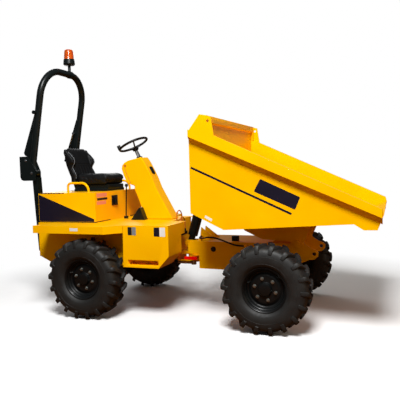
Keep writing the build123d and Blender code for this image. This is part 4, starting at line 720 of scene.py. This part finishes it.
def make_piping(rest):
    """Light piping sewn along the wings of the back rest."""
    low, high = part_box("seat_back")
    tree = BVHTree.FromObject(rest, bpy.context.evaluated_depsgraph_get())
    bm = bmesh.new()
    steps = 40
    for side in (-1, 1):
        line = []
        for step in range(steps + 1):
            z = low.z + (high.z - low.z) * (0.16 + 0.72 * step / steps)
            y = side * (high.y - 0.026)
            hit = tree.ray_cast(Vector((high.x + 0.3, y, z)), Vector((-1, 0, 0)))[0]
            if hit is not None:
                line.append(hit + Vector((0.0015, 0, 0)))
        swept_tube(bm, line, 0.0028, 8)
    finish_piece(new_piece("seat_back_piping", bm, 60), BODY_OF["seat_back"], "grey_plastic")


make_seat_cushion()
make_piping(make_seat_back())


# ---------------------------------------------------------------- bare panels and labels
FILM = 0.0006             # thickness of a film label
LABEL_CORNER = 0.004      # rounding of a label's corners
SKIP_SIDE = 0.8230        # distance of the skip's side plates from the middle


def skip_film(name, side, points, slot, rounding=0.0):
    """A film on the skip's side, from (x, z) points."""
    corners = [(x, side * SKIP_SIDE, z) for x, z in points]
    flat_panel(name, corners, (0, side, 0), FILM, "skip", slot, rounding)


def bead(name, points, radius, body, slot):
    """A round seal or rod along points."""
    bm = bmesh.new()
    swept_tube(bm, [Vector(point) for point in points], radius, 10)
    finish_piece(new_piece(name, bm, 60), body, slot)


def small_block(name, low, high, rounding, body, slot):
    """A small moulded block with rounded edges, from its corners."""
    finish_piece(new_piece(name, block_form(Vector(low), Vector(high), rounding, 3, 0.5), 50), body, slot)


def side_label(name, x_range, z_range, y, slot):
    """A thin blank label on an upright face that looks to the machine's right."""
    (x1, x2), (z1, z2) = x_range, z_range
    corners = [(x1, y, z1), (x2, y, z1), (x2, y, z2), (x1, y, z2)]
    flat_panel(name, corners, (0, -1, 0), FILM, "rear", slot, LABEL_CORNER)


def front_label(name, y_range, z_range, x, slot):
    """A thin blank label on an upright face of the engine cover that looks forwards."""
    (y1, y2), (z1, z2) = y_range, z_range
    corners = [(x, y1, z1), (x, y2, z1), (x, y2, z2), (x, y1, z2)]
    flat_panel(name, corners, (1, 0, 0), FILM, "bonnet", slot, LABEL_CORNER)


for side, word in SIDES:
    skip_film(f"skip_panel_{word}", side, ((0.945, 1.444), (1.309, 1.274), (1.261, 1.161), (0.883, 1.329)),
              "navy", 0.012)
    skip_film(f"skip_stripe_{word}", side, ((0.270, 1.573), (1.232, 1.131), (1.224, 1.113), (0.262, 1.555)),
              "navy")

bonnet_low, bonnet_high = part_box("bonnet")
for side, word in SIDES:
    y = side * bonnet_high.y
    rear_x, front_x = bonnet_low.x + 0.004, bonnet_high.x - 0.02
    flat_panel(f"cover_panel_{word}", [(rear_x, y, bonnet_high.z - 0.016), (front_x, y, bonnet_low.z + 0.040),
                                       (front_x, y, bonnet_low.z + 0.012), (rear_x, y, bonnet_low.z + 0.012)],
               (0, side, 0), FILM, "bonnet", "navy")

tank_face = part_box("tank_right")[0].y
side_label("tank_label_dark", (-0.190, -0.128), (0.876, 0.968), tank_face, "navy")
side_label("tank_label_pale", (-0.126, -0.064), (0.876, 0.968), tank_face, "pale")
side_label("tank_label_grey", (-0.488, -0.442), (0.884, 0.968), tank_face, "rubber")
side_label("tank_label_light", (-0.440, -0.394), (0.884, 0.968), tank_face, "grey_plastic")
side_label("mudguard_label", (-1.088, -0.990), (0.934, 0.966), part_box("fender_right")[0].y, "pale")

cover_face = bonnet_high.x
front_label("cover_label_top", (-0.515, -0.300), (1.262, 1.306), cover_face, "pink")
front_label("cover_label_bar", (-0.508, -0.290), (1.228, 1.254), cover_face, "navy")
front_label("cover_label_foot", (-0.515, -0.322), (1.180, 1.218), cover_face, "pink")

# the latch on the engine cover's front: a plate with a raised grip
plate_face, grip_face = cover_face + 0.010, cover_face + 0.030
small_block("cover_latch_plate", (cover_face, -0.196, 1.150), (plate_face, -0.070, 1.268), 0.003, "bonnet",
            "black_plastic")
small_block("cover_latch_grip", (plate_face, -0.160, 1.166), (grip_face, -0.106, 1.244), 0.008, "bonnet",
            "black_plastic")

# ---------------------------------------------------------------- seals, joints and catches
seal_y, seal_top = bonnet_high.y, bonnet_high.z - 0.002
bead("cover_top_seal", [(bonnet_low.x + 0.010, -seal_y - 0.001, seal_top),
                        (bonnet_low.x + 0.350, -seal_y - 0.001, seal_top)], 0.0035, "bonnet", "rubber")
seal_foot = bonnet_low.z + 0.006      # high enough that the seal's round clears the deck below it
for side, word in SIDES:
    bead(f"cover_foot_seal_{word}", [(bonnet_low.x + 0.004, side * seal_y, seal_foot),
                                     (cover_face, side * seal_y, seal_foot),
                                     (cover_face, side * 0.240, seal_foot)], 0.0045, "bonnet", "rubber")

# the joint of the tower's cover, its key switch and its catch
tower_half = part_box("steering_tower")[1].y
for side, word in SIDES:
    bead(f"tower_joint_{word}", [(-0.853, side * tower_half, 1.577), (-0.822, side * tower_half, 1.490),
                                 (-0.785, side * tower_half, 1.408)], 0.003, "rear", "hose")
key_switch = bmesh.new()
revolved(key_switch, [(-0.002, 0.006), (0.003, 0.006), (0.004, 0.012), (0.002, 0.016), (-0.002, 0.016)],
         (-0.849, -tower_half, 1.606), 32)
finish_piece(new_piece("tower_key_switch", key_switch, 40), "rear", "hose")
catch_corners = [(-0.5700, -0.030, 1.5862), (-0.5700, 0.030, 1.5862), (-0.5285, 0.030, 1.5076),
                 (-0.5285, -0.030, 1.5076)]
flat_panel("tower_catch", catch_corners, (0.885, 0, 0.466), 0.012, "rear", "black_plastic", 0.006)

# grey sleeve round the steering column
COLUMN_FOOT, COLUMN_LEAN = Vector((-0.7030, 0, 1.6901)), radians(25)
column = Vector((-sin(COLUMN_LEAN), 0, cos(COLUMN_LEAN)))
bead("column_sleeve", [COLUMN_FOOT + 0.022 * column, COLUMN_FOOT + 0.092 * column], 0.0215, "rear",
     "grey_plastic")

# grommet on the front frame's side, and a blank label by the skip's lower edge
grommet = bmesh.new()
revolved(grommet, [(-0.004, 0.0), (0.003, 0.0), (0.003, 0.010), (0.007, 0.014), (0.007, 0.024),
                   (0.002, 0.028), (-0.004, 0.028)], (0.285, -0.281, 0.690), 40)
bmesh.ops.remove_doubles(grommet, verts=grommet.verts, dist=1e-6)
finish_piece(new_piece("frame_grommet", grommet, 40), "front", "rubber")
skip_film("skip_label_right", -1, ((0.392, 1.083), (0.462, 1.046), (0.474, 1.068), (0.404, 1.105)), "pale",
          LABEL_CORNER)

# the bolts in the roll bar's hinge housings
housing_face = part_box("rops_posts")[1].y
hinge, strut_foot = JOINTS["rops_fold"]["pos_m"], JOINTS["strut_swing"]["pos_m"]
housing_bolts = bmesh.new()
for x, z in ((hinge[0], hinge[2]), (strut_foot[0] + 0.058, strut_foot[2] - 0.007)):
    for side in (-1, 1):
        hex_bolt(housing_bolts, (x, side * housing_face, z), (0, side, 0), 0.024, 0.012)
finish_piece(new_piece("housing_bolts", housing_bolts, 30), "rear", "steel")


# ---------------------------------------------------------------- studio
FLOOR_HALF = 30.0         # half the paper's side
FLOOR_DROP = 0.0005       # how far the paper lies under the tyres
LAMPS = [  # name, position, target, side of the soft box, watts, colour
    ("key", (1.5, -4.7, 6.5), (0.1, 0, 0.9), 2.2, 730.0, (1.0, 1.0, 1.0)),
    ("warm_front", (6.5, -1.5, 2.6), (0.5, 0, 0.8), 3.0, 50.0, (1.0, 0.75, 0.5)),
    ("back_fill", (-4.5, 5.0, 4.0), (0, 0, 0.9), 4.0, 180.0, (1.0, 1.0, 1.0))]
WORLD_SEEN, WORLD_LIGHT = 1.0, 0.14


def make_floor_plane():
    """A wide pale floor."""
    bm = bmesh.new()
    bmesh.ops.create_grid(bm, x_segments=40, y_segments=40, size=FLOOR_HALF)
    for vertex in bm.verts:
        vertex.co.z = -FLOOR_DROP
    floor = new_piece("studio_floor_plane", bm)
    floor.data.materials.append(make_studio_paper())


def area_light(name, position, target, size, power, colour):
    """A square soft box aimed at a point."""
    data = bpy.data.lights.new(name, "AREA")
    data.size = size
    data.energy = power
    data.color = colour
    lamp = link_object(name, data)
    lamp.location = position
    lamp.rotation_euler = (Vector(target) - Vector(position)).to_track_quat("-Z", "Y").to_euler()


def make_world():
    """White to the camera, softer grey as light."""
    world = bpy.data.worlds.new("studio")
    bpy.context.scene.world = world
    world.use_nodes = True
    tree = world.node_tree
    tree.nodes.clear()
    path = add_node(tree, "ShaderNodeLightPath")
    seen = add_node(tree, "ShaderNodeBackground", Color=WHITE, Strength=WORLD_SEEN)
    lit = add_node(tree, "ShaderNodeBackground", Color=WHITE, Strength=WORLD_LIGHT)
    mix = add_node(tree, "ShaderNodeMixShader", [(path.outputs["Is Camera Ray"], 0), (lit.outputs[0], 1),
                                                 (seen.outputs[0], 2)])
    add_node(tree, "ShaderNodeOutputWorld", [(mix.outputs[0], "Surface")])


make_floor_plane()
make_world()
for lamp_row in LAMPS:
    area_light(*lamp_row)
bpy.context.scene.view_settings.view_transform = "Standard"
